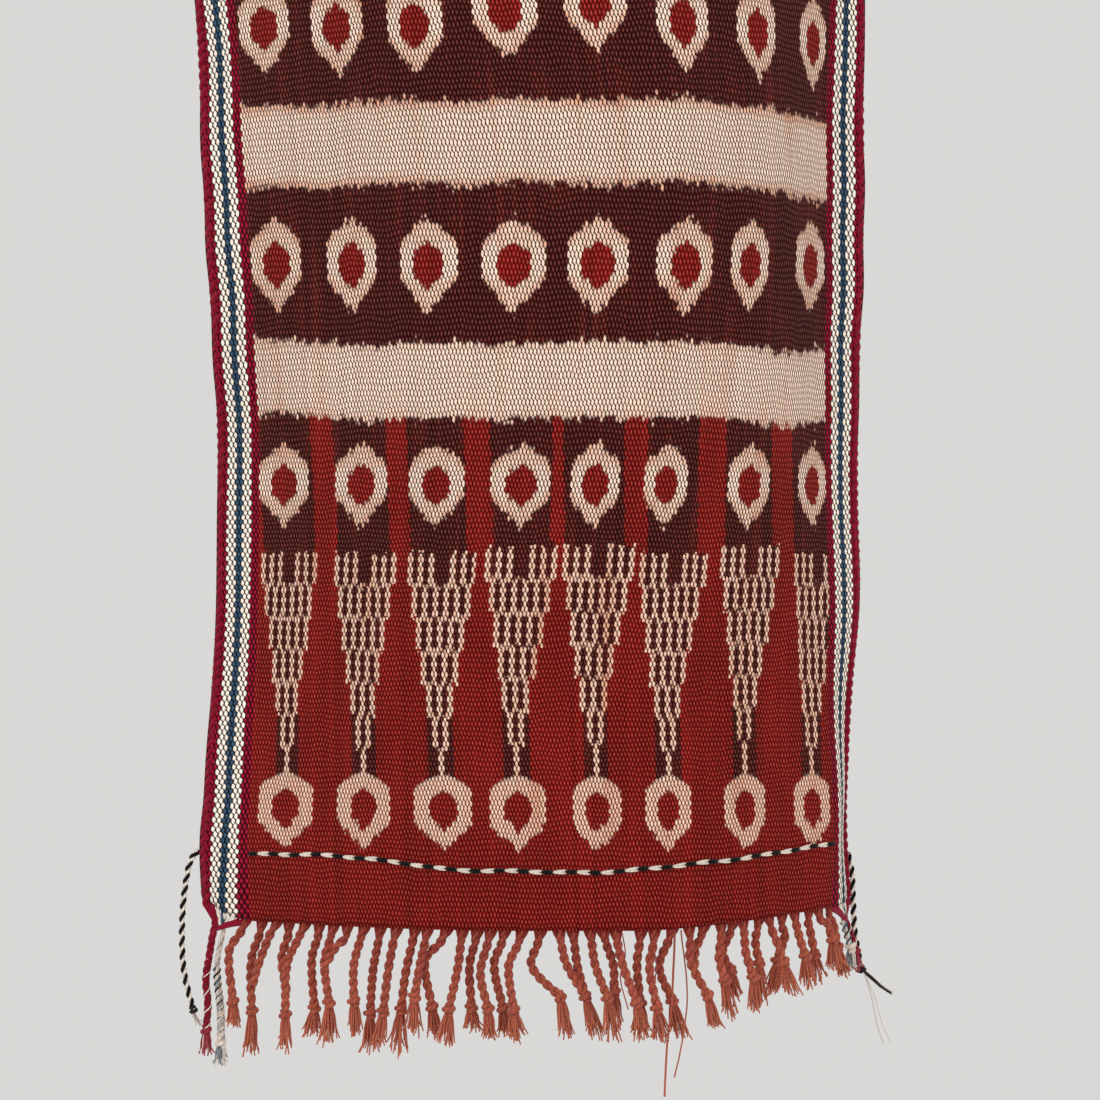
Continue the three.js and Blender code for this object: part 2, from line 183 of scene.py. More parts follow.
@dataclass
class Drape:
    """The cloth's form, from its hems to the rod."""

    rod_radius: float = 13.0
    front_drop: float = 910.0
    back_drop: float = 818.0
    wall: float = 2.0
    seam: float = 0.3
    border: float = 24.5
    apex: float = 0.53
    steps: int = 60
    crease_fade: float = 70.0
    left_gain: float = 1.25
    left_calm: float = 0.12
    right_calm: float = 0.15
    right_reach: float = 0.7
    edge_start: float = 0.9
    edge_reach: float = 0.06
    corner_height: float = 12.0
    corner_share: float = 0.93
    corner_pull: float = 3.3
    pull_height: float = 34.0
    pull_skew: float = 1.15
    corner_shares: tuple[float, ...] = (0, 0.35, 0.53, 0.7, 0.9, 1)
    corner_lifts: tuple[float, ...] = (7.5, 6.5, 3.2, 1.6, 0.4, 0)
    rise_shares: tuple[float, ...] = (0.64, 0.92, 1)
    rise_lifts: tuple[float, ...] = (0, 5, 5.4)
    rows: tuple[DrapeRow, ...] = (
        DrapeRow(0, -155.4, 324, 23.5, 38, 67, 20),
        DrapeRow(35, -156.7, 324, 23, 34, 78, 20),
        DrapeRow(57, -155.3, 324.5, 26, 35.5, 75, 20),
        DrapeRow(100, -153.1, 325.5, 31, 38, 62, 21),
        DrapeRow(143, -151.1, 328, 33.5, 41, 51, 22),
        DrapeRow(187, -150.6, 332, 33.5, 48, 48.5, 23),
        DrapeRow(230, -151.1, 338, 34, 54, 45, 25),
        DrapeRow(316, -156.1, 350, 32.5, 61, 36, 27),
        DrapeRow(402, -160.8, 358, 38, 56, 41.5, 28),
        DrapeRow(480, -166, 358, 33, 50, 45, 26),
        DrapeRow(600, -171, 358, 24, 36, 36, 19),
        DrapeRow(720, -175.5, 358, 14, 21, 21, 11),
        DrapeRow(830, -178.3, 358, 5, 7.5, 7.5, 4),
        DrapeRow(910, -179, 358, 0, 0, 0, 0),
    )
    creases: tuple[Crease, ...] = (
        Crease(0.715, 16, -1.8, 40, 520),
        Crease(0.6, 22, 1.2, 20, 620),
        Crease(0.33, 24, 1.1, 60, 700),
        Crease(0.2, 20, -1.0, 150, 760),
    )
    _sections: dict[float, Section] = field(default_factory=dict)

    @property
    def fold_radius(self) -> float:
        """From the rod's axis to the cloth's middle."""
        return self.rod_radius + self.seam + self.wall / 2

    @property
    def fold_run(self) -> float:
        """Length of cloth that lies over the rod."""
        return math.pi * self.fold_radius

    @property
    def length(self) -> float:
        """Flat length of the cloth from hem to hem."""
        return self.front_drop + self.fold_run + self.back_drop

    def at(self, column: str, height: float) -> float:
        """One column of the drape's table at a height."""
        return hermite([r.height for r in self.rows], [getattr(r, column) for r in self.rows], height)

    def turn(self, share: np.ndarray, turns: tuple[float, float, float]) -> np.ndarray:
        """How far the cloth is turned at places across it.

        Args:
            share: The places, as shares of the width.
            turns: The turns of the left side, the right side and the right edge, in radians.

        Returns:
            The turns in radians; back is positive.
        """
        left, right, edge = turns
        q_left = np.clip(self.left_gain * (self.apex - share) / self.apex - self.left_calm, 0, 1)
        q_right = np.clip(((share - self.apex) / (1 - self.apex) - self.right_calm) / self.right_reach, 0, 1)
        edge_turn = (edge - right) * smooth((share - self.edge_start) / self.edge_reach)
        right_turn = right * np.sin(np.pi / 2 * q_right) + edge_turn
        return np.where(share < self.apex, -left * np.sin(np.pi / 2 * q_left), right_turn)

    def section(self, height: float) -> Section:
        """Works out a level cut from the left selvedge to the right, once for each height.

        Args:
            height: Height above the front hem.

        Returns:
            The cut.
        """
        key = round(height, 4)
        if key not in self._sections:
            width = self.at("width", height)
            turns = tuple(math.radians(self.at(n, height)) for n in ("turn_left", "turn_right", "turn_edge"))
            step = width / self.steps
            turned = self.turn((np.arange(self.steps) + 0.5) / self.steps, turns)
            xs = self.at("left", height) + np.concatenate([[0], np.cumsum(np.cos(turned) * step)])
            ys = np.concatenate([[0], np.cumsum(np.sin(turned) * step)])
            ys += -self.fold_radius - self.at("lean", height) - ys.min()
            self._sections[key] = Section(width, turns, xs, ys)
        return self._sections[key]

    def hanging(self, across: np.ndarray, height: float, half: Half) -> tuple[Points, Points]:
        """Points of a hanging half's middle surface at one height.

        Args:
            across: Places across the cloth.
            height: Height above the front hem.
            half: Which half of the cloth.

        Returns:
            The points, and the directions that the cloth's face looks in.
        """
        cut = self.section(height)
        share = np.clip(np.asarray(across, float) / cut.width, 0, 1)
        place = share * self.steps
        knots = np.arange(self.steps + 1)
        turned = self.turn(share, cut.turns)
        forward = np.stack([np.sin(turned), -np.cos(turned), np.zeros_like(turned)], axis=1)
        depth = np.zeros_like(share)
        for crease in self.creases:
            fade = smooth((height - crease.low) / self.crease_fade)
            fade *= smooth((crease.high - height) / self.crease_fade)
            depth += crease.depth * fade * np.exp(-(((share - crease.share) * cut.width / crease.half) ** 2))
        points = np.stack(
            [
                np.interp(place, knots, cut.xs),
                np.interp(place, knots, cut.ys),
                np.full_like(share, height - self.front_drop),
            ],
            axis=1,
        )
        points += forward * depth[:, None]
        if half is Half.FRONT:
            return points, forward
        return points + [0, 2 * self.fold_radius, 0], -forward

    def along(self, across: np.ndarray, run: float) -> tuple[Points, Points]:
        """Points of the cloth's middle surface at one place along the whole cloth.

        Args:
            across: Places across the cloth.
            run: Distance along the cloth from the front hem.

        Returns:
            The points, and the directions that the cloth's face looks in.
        """
        if run <= self.front_drop:
            return self.hanging(across, run, Half.FRONT)
        over = run - self.front_drop
        if over >= self.fold_run:
            return self.hanging(across, self.front_drop - (over - self.fold_run), Half.BACK)
        angle = over / self.fold_radius
        face = np.array([0, -math.cos(angle), math.sin(angle)])
        points = np.zeros((len(across), 3))
        points[:, 0] = self.at("left", self.front_drop) + np.asarray(across)
        return points + face * self.fold_radius, np.tile(face, (len(across), 1))

    def woven(self, across: np.ndarray, run: float) -> tuple[Points, Points]:
        """Points and face directions of warps at one place along the cloth, drawn in near its hems."""
        drawn = self.drawn_in(across, self.width_at(run), min(run, self.length - run))
        return self.along(drawn, run)

    def width_at(self, run: float) -> float:
        """The cloth's width at a place along it."""
        return self.at("width", self.height_of(run))

    def height_of(self, run: float) -> float:
        """Height above the front hem of a place along the cloth."""
        past_fold = max(0.0, run - self.front_drop - self.fold_run)
        return min(run, self.front_drop) - past_fold

    def hem(self, half: Half) -> float:
        """Height of a half's hem above the front hem."""
        return 0.0 if half is Half.FRONT else self.front_drop - self.back_drop

    def drawn_in(self, across: np.ndarray, width: float, above_hem: float) -> np.ndarray:
        """Draws the borders' warps together near a hem, and their stripes outwards.

        Args:
            across: Places across the cloth as woven.
            width: The cloth's width there.
            above_hem: Height above the nearer hem.

        Returns:
            The places that the warps are drawn to.
        """
        keep = self.corner_share + (1 - self.corner_share) * smooth(above_hem / self.corner_height)
        pull = self.corner_pull * (1 - smooth(above_hem / self.pull_height))
        out = np.minimum(across, width - across)
        share = np.clip(out / self.border, 0, 1)
        bent = self.border - (self.border - out) * keep - pull * np.sin(np.pi * share**self.pull_skew)
        bent = np.where(share < 1, bent, out)
        return np.where(across < width / 2, bent, width - bent)

    def hem_lift(self, across: np.ndarray, width: float) -> np.ndarray:
        """How far the weave's edge lies above the level of its hem.

        Args:
            across: Places across the cloth.
            width: The cloth's width at the hem.

        Returns:
            The lifts, to a tenth of a millimetre.
        """
        out = np.minimum(across, width - across) / self.border
        corner = np.interp(out, self.corner_shares, self.corner_lifts)
        rise = np.interp(across / width, self.rise_shares, self.rise_lifts)
        return np.round(np.maximum(corner, rise), 1)


# ---- node trees


class Num:
    """A number that flows through a node tree, with Python's arithmetic."""

    def __init__(self, tree: Tree, socket: Socket) -> None:
        """Holds a socket of a tree."""
        self.tree = tree
        self.socket = socket

    def _op(self, operation: str, *others: Num | float) -> Num:
        """Applies one Math operation to this number and the others."""
        return self.tree.math(operation, self, *others)

    def __add__(self, other: Num | float) -> Num:
        """Adds."""
        return self._op("ADD", other)

    __radd__ = __add__

    def __sub__(self, other: Num | float) -> Num:
        """Takes away."""
        return self._op("SUBTRACT", other)

    def __rsub__(self, other: float) -> Num:
        """Is taken away from a plain number."""
        return self.tree.math("SUBTRACT", other, self)

    def __mul__(self, other: Num | float) -> Num:
        """Multiplies."""
        return self._op("MULTIPLY", other)

    __rmul__ = __mul__

    def __truediv__(self, other: Num | float) -> Num:
        """Divides."""
        return self._op("DIVIDE", other)

    def __pow__(self, other: Num | float) -> Num:
        """Raises to a power."""
        return self._op("POWER", other)

    def __gt__(self, other: Num | float) -> Num:
        """1 where it is greater, 0 elsewhere."""
        return self._op("GREATER_THAN", other)

    def __lt__(self, other: Num | float) -> Num:
        """1 where it is less, 0 elsewhere."""
        return self._op("LESS_THAN", other)

    def floor(self) -> Num:
        """The whole number below."""
        return self._op("FLOOR")

    def fract(self) -> Num:
        """What is left above the whole number below."""
        return self._op("FRACT")

    def abs(self) -> Num:
        """The size without its sign."""
        return self._op("ABSOLUTE")

    def sign(self) -> Num:
        """-1, 0 or 1."""
        return self._op("SIGN")

    def cos(self) -> Num:
        """The cosine of an angle in radians."""
        return self._op("COSINE")

    def sin(self) -> Num:
        """The sine of an angle in radians."""
        return self._op("SINE")

    def at_most(self, other: Num | float) -> Num:
        """The smaller of the two."""
        return self._op("MINIMUM", other)

    def at_least(self, other: Num | float) -> Num:
        """The larger of the two."""
        return self._op("MAXIMUM", other)


class Tree:
    """Builds a shader or geometry node tree from short calls."""

    def __init__(self, node_tree: bpy.types.NodeTree) -> None:
        """Takes the tree to build in."""
        self.tree = node_tree

    def node(
        self, kind: str, inputs: dict[str | int, object] | None = None, **settings: object
    ) -> bpy.types.Node:
        """Adds a node.

        Args:
            kind: The node's type.
            inputs: A value or a link for each input named.
            **settings: The node's own properties.

        Returns:
            The new node.
        """
        made = self.tree.nodes.new(kind)
        for name, value in settings.items():
            setattr(made, name, value)
        for key, value in (inputs or {}).items():
            self.feed(made.inputs[key], value)
        return made

    def feed(self, socket: Socket, value: object) -> None:
        """Links or sets an input.

        Args:
            socket: The input.
            value: A number of the tree, a socket, or a plain value.
        """
        if isinstance(value, Num):
            self.tree.links.new(value.socket, socket)
        elif isinstance(value, Socket):
            self.tree.links.new(value, socket)
        elif isinstance(value, tuple) and len(value) == 3 and socket.type == "RGBA":
            socket.default_value = (*value, 1.0)
        else:
            socket.default_value = value

    def math(self, operation: str, *values: Num | float) -> Num:
        """One Math node."""
        made = self.node("ShaderNodeMath", dict(enumerate(values)), operation=operation)
        return Num(self, made.outputs[0])

    def ramp(self, value: Num, low: Num | float, high: Num | float) -> Num:
        """Eases from 0 at low to 1 at high."""
        made = self.node(
            "ShaderNodeMapRange",
            {0: value, 1: low, 2: high, 3: 0.0, 4: 1.0},
            interpolation_type="SMOOTHSTEP",
        )
        return Num(self, made.outputs[0])

    def pick(self, chosen: Num, when_one: Num | float, when_zero: Num | float) -> Num:
        """Chooses or blends between two numbers."""
        made = self.node("ShaderNodeMix", {0: chosen, 2: when_zero, 3: when_one}, data_type="FLOAT")
        return Num(self, made.outputs[0])

    def blend(self, share: Num | float, colour: object, under: object) -> Socket:
        """Lays one colour over another."""
        made = self.node("ShaderNodeMix", {0: share, 6: under, 7: colour}, data_type="RGBA")
        return made.outputs[2]

    def steps(self, value: Num, colours: Sequence[Colour]) -> Socket:
        """Looks a whole number up in a row of colours.

        Args:
            value: The number, from 0.
            colours: One colour for each number.

        Returns:
            The colour.
        """
        count = len(colours)
        made = self.node("ShaderNodeValToRGB", {0: (value + 0.5) / count})
        made.color_ramp.interpolation = "CONSTANT"
        stops = made.color_ramp.elements
        for k, colour in enumerate(colours):
            stop = stops[k] if k < 2 else stops.new(k / count)
            stop.position = k / count
            stop.color = (*colour, 1)
        return made.outputs[0]

    def scaled(self, vector: object, factor: object) -> Socket:
        """Multiplies a colour or a vector by a number."""
        made = self.node("ShaderNodeVectorMath", {0: vector, "Scale": factor}, operation="SCALE")
        return made.outputs[0]

    def random(self, value: Num, seed: float) -> Num:
        """An even random number from 0 to 1 for each value."""
        made = self.node("ShaderNodeTexWhiteNoise", {"W": value + seed}, noise_dimensions="1D")
        return Num(self, made.outputs[0])

    def noise(self, x: Num, y: Num | float, seed: float, detail: float = 2.0) -> Num:
        """Soft noise over a flat place.

        Args:
            x: The place's first number, in cells of the noise.
            y: Its second number.
            seed: Which noise.
            detail: How many finer layers it has.

        Returns:
            The noise, from 0 to 1.
        """
        place = self.node("ShaderNodeCombineXYZ", {0: x, 1: y, 2: seed}).outputs[0]
        inputs = {"Vector": place, "Scale": 1.0, "Detail": detail, "Roughness": 0.55}
        return Num(self, self.node("ShaderNodeTexNoise", inputs).outputs[0])

    def attribute(self, name: str) -> Num:
        """A number stored on the mesh."""
        return Num(self, self.node("ShaderNodeAttribute", attribute_name=name).outputs["Fac"])

    def uv(self, name: str) -> tuple[Num, Num]:
        """The two numbers of a UV map."""
        parts = self.node("ShaderNodeSeparateXYZ", {0: self.node("ShaderNodeUVMap", uv_map=name).outputs[0]})
        return Num(self, parts.outputs[0]), Num(self, parts.outputs[1])


class Surface:
    """A material's shader, ready for colour, roughness and bump."""

    def __init__(self, name: str) -> None:
        """Makes an empty node material.

        Args:
            name: The material's name.
        """
        self.material = bpy.data.materials.new(name)
        self.material.use_nodes = True
        self.material.node_tree.nodes.clear()
        self.tree = Tree(self.material.node_tree)

    def finish(
        self,
        colour: object,
        roughness: Num | float,
        height: Num | None = None,
        depth: float = 0.0,
        sheen: float = 0.0,
        specular: float = 0.3,
    ) -> Material:
        """Ends the tree in a principled shader.

        Args:
            colour: The surface colour.
            roughness: The surface roughness.
            height: The relief from 0 to 1.
            depth: How far the relief rises, in millimetres.
            sheen: How much fuzz catches the light.
            specular: The gloss level.

        Returns:
            The finished material.
        """
        shader = self.tree.node(
            "ShaderNodeBsdfPrincipled",
            {
                "Base Color": colour,
                "Roughness": roughness,
                "Specular IOR Level": specular,
                "Sheen Weight": sheen,
                "Sheen Roughness": 0.5,
            },
        )
        if height is not None:
            relief = {"Height": height, "Strength": 1.0, "Distance": depth * MM}
            bump = self.tree.node("ShaderNodeBump", relief)
            self.tree.feed(shader.inputs["Normal"], bump.outputs[0])
        out = self.tree.node("ShaderNodeOutputMaterial")
        self.tree.feed(out.inputs[0], shader.outputs[0])
        return self.material


# ---- finishes


@dataclass(frozen=True)
class Dyes:
    """The colours of the yarns, and an umber for painted shade."""

    red: Colour = linear(160, 28, 27)
    red_deep: Colour = linear(138, 22, 20)
    brown: Colour = linear(74, 20, 22)
    brown_warm: Colour = linear(108, 34, 32)
    cream: Colour = linear(255, 227, 207)
    peach: Colour = linear(234, 170, 140)
    crimson: Colour = linear(148, 8, 42)
    blue: Colour = linear(46, 82, 108)
    white: Colour = linear(250, 238, 224)
    black: Colour = linear(12, 9, 10)
    ash: Colour = linear(70, 65, 65)
    # Not a yarn: the colour of painted shade in the borders' slits and at the feet of their floats.
    shadow_umber: Colour = linear(58, 24, 26)
    grey: Colour = linear(190, 188, 186)
    pink: Colour = linear(206, 96, 110)
    rust: Colour = linear(158, 66, 54)
    rust_deep: Colour = linear(130, 36, 30)
    frayed: Colour = linear(224, 128, 96)


DYES = Dyes()


@dataclass(frozen=True)
class Weave:
    """A warp-faced plain weave: each warp floats over one pick and dives under the next.

    Places are read as warps across and as pairs of picks along, so one float takes one unit each way.
    """

    crown: float = 2.25
    lean: float = 0.1
    gap: float = -0.33
    full: float = 0.95
    # Where the painted shadow in the gaps between floats fades in and becomes full, about the gap's float
    # height.
    shadow_above: float = 0.02
    shadow_below: float = 0.14

    def floats(self, tree: Tree, across: Num, along: Num) -> tuple[Num, Num, Num]:
        """Works out which warp shows at a place, and how high it stands.

        Args:
            tree: The shader tree.
            across: Place across, in warps.
            along: Place along, in pairs of picks.

        Returns:
            The number of the warp that shows, the height of its float from 0 to 1, and 1 in the gaps between
            floats, where shadow is painted.
        """
        cell = across.floor()
        off = across - cell - 0.5
        odd = (cell * 0.5).fract()
        phase = (along + odd + off * self.lean).fract() - 0.5
        swell = (phase * (2 * math.pi)).cos()
        far = 1.0 - off.abs()
        own = swell - off * off * self.crown
        other = swell * -1.0 - far * far * self.crown
        warp = tree.pick(own > other, cell, cell + off.sign())
        top = own.at_least(other)
        relief = tree.ramp(top, self.gap, self.full)
        # The third number is the mask of painted shadow in the gaps between floats.
        return warp, relief, tree.ramp(top * -1.0, -self.gap - self.shadow_below, -self.gap + self.shadow_above)


class FigureRow(NamedTuple):
    """One row of eight figures: middles and half widths in warps, and lifts in millimetres."""

    middles: tuple[float, ...]
    halves: tuple[float, ...]
    lifts: tuple[float, ...] = (0.0,) * 8


class Outline(NamedTuple):
    """How far a figure reaches up and down, at its sides and at its middle, in millimetres."""

    up_side: float
    up_middle: float
    up_power: float
    down_side: float
    down_middle: float
    down_power: float

    def fill(
        self, tree: Tree, off: Num, up: Num, slack: Num | float, size: Num | float = 1.0
    ) -> tuple[Num, Num]:
        """Fills the figure.

        Args:
            tree: The shader tree.
            off: Distance from the figure's middle, as a share of its half width.
            up: Height above the figure's widest level.
            slack: How far the figure's edge strays.
            size: Scale of the figure's height.

        Returns:
            1 inside the figure, and the distance in from its edge.
        """
        tip = (1.0 - off).at_least(0.0)
        above = tip**self.up_power * (self.up_middle - self.up_side) + self.up_side
        below = tip**self.down_power * (self.down_middle - self.down_side) + self.down_side
        inside = tree.pick(up > 0.0, above, below) * size + slack - up.abs()
        return tree.ramp(inside, -1.0, 0.8) * (off < 1.0), inside


class FloatShade(NamedTuple):
    """Painted light and shade on a float: how bright a yarn is painted at the float's foot, how much it gains
    towards the crown, and the relief where it has it all.
    """

    foot: float
    gain: float
    full: float

    def read(self, tree: Tree, relief: Num) -> Num:
        """The painted brightness at a height of the relief."""
        return tree.ramp(relief, 0.0, self.full) * self.gain + self.foot


@dataclass(frozen=True)
class Spot:
    """A place in the pattern: its warp, height and column, and the warp's own waywardness."""

    warp: Num
    height: Num
    column: Num
    inside: Num
    single: Num
    feather: Num


@dataclass(frozen=True)
class IkatCloth:
    """The patterned cloth: eight columns of figures between two striped borders.

    Heights, waves and lifts are in millimetres; places across, halves and sways are in warps.
    """

    length: float
    columns: int = 8
    column_warps: int = 44
    border_shares: tuple[float, ...] = (0, 0.24, 0.46, 0.6, 0.81, 1)
    border_counts: tuple[int, ...] = (0, 5, 9, 12, 16, 20)
    feather_odd: float = 2.0
    feather_single: float = 1.3
    feather_pair: float = 2.2
    feather_stray: float = 1.6
    low_band: float = 238.0
    low_band_half: float = 15.9
    first_band: float = 341.0
    band_half: float = 17.8
    bands_per_half: float = 6.0
    band_curl: float = 5.0
    band_curl_fade: float = 0.022
    band_wave: float = 11.0
    eye_floor: float = 170.0
    low_eye_top: float = 226.0
    low_eye_level: float = 193.0
    low_eye_size: float = 0.88
    middle_eye_level: float = 289.0
    eye_sway: float = 3.0
    ring_level: float = 52.0
    ring_top: float = 69.0
    ring_feather: float = 0.5
    spear_top: float = 165.0
    spear_top_sway: float = 4.0
    spear_top_feather: float = 2.4
    spear_tip: float = 64.0
    spear_step: float = 14.26
    spear_levels: int = 7
    low_figures_start: float = 5.0
    low_figures_top: float = 169.0
    block_middle: float = 198.0
    block_lean: float = 0.08
    block_lean_most: float = 3.0
    block_overlap: float = 0.3
    chain_spacing: float = 6.0
    chain_half: float = 1.4
    chain_margin: float = 1.5
    dash_shortest: float = 0.2
    dash_spread: float = 1.1
    dash_strength: float = 0.62
    stem_half: float = 6.4
    stem_spread: float = 1.6
    dark_ground_from: float = 234.0
    warp_stray: float = 0.7
    pick_stray: float = 1.1
    # Painted shade of the floats, for dark and for pale yarns: dark at their feet, lighter at their crowns.
    dark_float_shade: FloatShade = FloatShade(0.51, 0.68, 0.7)
    pale_float_shade: FloatShade = FloatShade(0.78, 0.42, 0.45)
    warp_unevenness: float = 0.15
    wear: float = 0.2
    # Painted shade at the feet of the floats, tinged with the ground colour.
    foot_shade_tint: float = 0.24
    foot_height: float = 0.36
    # Painted highlight: peach laid on the crowns of the floats, less in the borders.
    crown_highlight_share: float = 0.1
    border_highlight_loss: float = 0.07
    # Painted shadow in the slits between floats: its tint of yarn colour, its darkness and its strength.
    slit_shadow_tint: float = 0.03
    slit_shade: float = 0.22
    slit_shadow_share: float = 0.95
    float_rise: float = 0.26
    eye: Outline = Outline(8.4, 20, 0.65, 5, 20.5, 0.9)
    heart: Outline = Outline(4.0, 10.4, 0.7, 3.6, 10.6, 0.8)
    heart_share: float = 0.51
    ring: Outline = Outline(7.4, 15.6, 0.55, 5.5, 17, 0.95)
    hole: Outline = Outline(3.4, 8.8, 0.65, 2.6, 9.6, 0.9)
    hole_share: float = 0.47
    ring_row: FigureRow = FigureRow(
        (23.1, 27.7, 30.3, 28.1, 27.8, 23.6, 25.7, 27.4),
        (17.7, 16, 16.4, 15.7, 13.5, 13.3, 13.2, 13.3),
        (-2, 0, 0, 0, 0, 0, -1, -3),
    )
    spear_row: FigureRow = FigureRow((20.8, 28.2, 30.5, 28.9, 26.4, 24.7, 28.7, 35.5), (18.0,) * 8)
    block_row: FigureRow = FigureRow(
        (18.3, 24, 24.9, 27.4, 21.8, 20.7, 23.6, 33), (17.8, 16.7, 15.7, 16.6, 16.1, 14.3, 15.6, 20.5)
    )
    low_eyes: FigureRow = FigureRow(
        (16.8, 23.9, 25.1, 26.9, 22.5, 16.5, 23.3, 30.2),
        (17.1, 16.6, 15.3, 16, 13.4, 11.9, 14.3, 13),
        (1, 0.5, 0, 0, 0, 0, 0, 1),
    )
    middle_eyes: FigureRow = FigureRow(
        (16.8, 19.4, 19.8, 20.3, 19, 20.1, 15.9, 25.5),
        (16.1, 15.2, 15.3, 16.5, 15.8, 15.8, 12.8, 16.2),
        (3, 1, -0.6, -1.2, -1.3, -1, 0.7, 4),
    )
    high_eyes: FigureRow = FigureRow(
        (18.5, 21.1, 21.8, 23.7, 23.8, 23.5, 23.8, 27.7),
        (16.8, 16.1, 14.7, 15.9, 15.2, 13.6, 13, 12.8),
        (8, 4, 1.5, 6.7, 10, 2.3, 1.5, 2.4),
    )

    @property
    def field_warps(self) -> int:
        """Warps between the borders."""
        return self.columns * self.column_warps

    @property
    def repeat(self) -> float:
        """From one pale band to the next, above the second."""
        return (self.length / 2 - self.first_band) / (self.bands_per_half - 0.5)

    def table(self, tree: Tree, column: Num, row: FigureRow) -> tuple[Num, Num, Num]:
        """Looks a column up in a row of figures.

        Args:
            tree: The shader tree.
            column: The column's number, from 0.
            row: The row of figures.

        Returns:
            The column's middle and half width in warps, and its lift in millimetres.
        """
        lifts_span = 20.0
        packed = [
            (middle / self.column_warps, half / self.column_warps, lift / lifts_span + 0.5)
            for middle, half, lift in zip(row.middles, row.halves, row.lifts)
        ]
        parts = tree.node("ShaderNodeSeparateColor", {0: tree.steps(column, packed)})
        middle, half, lift = (Num(tree, socket) for socket in parts.outputs)
        return middle * self.column_warps, half * self.column_warps, (lift - 0.5) * lifts_span

    def material(self) -> Material:
        """Builds the cloth's material.

        Returns:
            The material, which reads the cloth's two UV maps.
        """
        surface = Surface("ikat_cloth")
        tree = surface.tree
        warps, picks = tree.uv("weave")
        _, run = tree.uv("flat")
        strayed = warps + (tree.noise(warps * 0.07, run * 0.025, 13.0) - 0.5) * self.warp_stray
        beaten = picks + (tree.noise(warps * 0.05, run * 0.04, 11.0) - 0.5) * self.pick_stray
        warp, relief, gap = Weave().floats(tree, strayed, beaten)
        half_length = self.length / 2
        height = half_length - (run - half_length).abs()
        colour, ground, pale = self.pattern(tree, self.spot(tree, warp, height))
        in_border, white, stripes = self.borders(tree, warp)
        colour = tree.blend(in_border, stripes, colour)
        pale = tree.pick(in_border, white, pale)
        # In the borders the ground is the umber of painted shade, used only for the painted slit shadow and
        # the painted shade at float feet.
        ground = tree.blend(in_border, DYES.shadow_umber, ground)
        worn = tree.noise(warps * 0.02, run * 0.01, 3.0) * self.wear + (1.0 - self.wear / 2)
        # Painted shade: each float is darker at its foot and lighter at its crown, then varied per warp and
        # by wear.
        dull, bright = self.dark_float_shade.read(tree, relief), self.pale_float_shade.read(tree, relief)
        uneven = (tree.random(warp, 7.3) - 0.5) * self.warp_unevenness
        shade = (tree.pick(pale, bright, dull) + uneven) * worn
        # Painted shadow for the slits between floats: the yarn and ground colours, darkened.
        slit_shadow = tree.scaled(tree.blend(self.slit_shadow_tint, colour, ground), self.slit_shade)
        # Painted shade at the feet of the floats, tinged towards the ground colour.
        colour = tree.blend(tree.ramp(relief, self.foot_height, 0.0) * self.foot_shade_tint, ground, colour)
        # Painted highlight: peach on the crowns of the floats.
        crown = relief**3 * (self.crown_highlight_share - in_border * self.border_highlight_loss)
        colour = tree.blend(crown, DYES.peach, tree.scaled(colour, shade))
        # The painted slit shadow is laid into the gaps between floats.
        colour = tree.blend(gap * self.slit_shadow_share, slit_shadow, colour)
        return surface.finish(colour, 0.9, height=relief, depth=self.float_rise, sheen=0.03, specular=0.05)

    def spot(self, tree: Tree, warp: Num, height: Num) -> Spot:
        """Reads a place in the pattern.

        Args:
            tree: The shader tree.
            warp: The number of the warp that shows.
            height: Distance from the nearer hem, in millimetres.

        Returns:
            The place.
        """
        start = (height < self.low_figures_top) * self.low_figures_start
        column = ((warp - start) / self.column_warps).floor().at_least(0.0).at_most(self.columns - 1.0)
        single, pair = tree.random(warp, 0.5), tree.random((warp * 0.5).floor(), 40.5)
        odd = (warp * 0.5).fract() - 0.25
        feather = odd * self.feather_odd + (single - 0.5) * self.feather_single
        feather = feather + (pair - 0.5) * self.feather_pair + single**8 * self.feather_stray
        return Spot(warp, height, column, warp - column * self.column_warps, single, feather)

    def bands(self, tree: Tree, spot: Spot) -> tuple[Num, Num]:
        """Lays the pale bands.

        Args:
            tree: The shader tree.
            spot: The place in the pattern.

        Returns:
            1 in a band, and how much its yarn is tinged.
        """
        place = (spot.height - self.first_band) / self.repeat
        upper = place > -0.5
        band = (place + 0.5).floor().at_least(0.0)
        bow = (spot.warp * -self.band_curl_fade).at_most(0.0)
        curl = tree.math("EXPONENT", bow) * self.band_curl
        wave = (tree.noise(spot.warp * 0.018, band * 3.1 + upper * 9.0, 1.0, 1.0) - 0.5) * self.band_wave
        middle = tree.pick(upper, band * self.repeat + self.first_band, self.low_band)
        half = tree.pick(upper, self.band_half, self.low_band_half)
        inside = half - (spot.height - middle - curl - wave).abs()
        return tree.ramp(inside + spot.feather, -1.3, 1.0), tree.ramp(inside, 6.0, -1.0) * (0.3 + upper * 0.5)

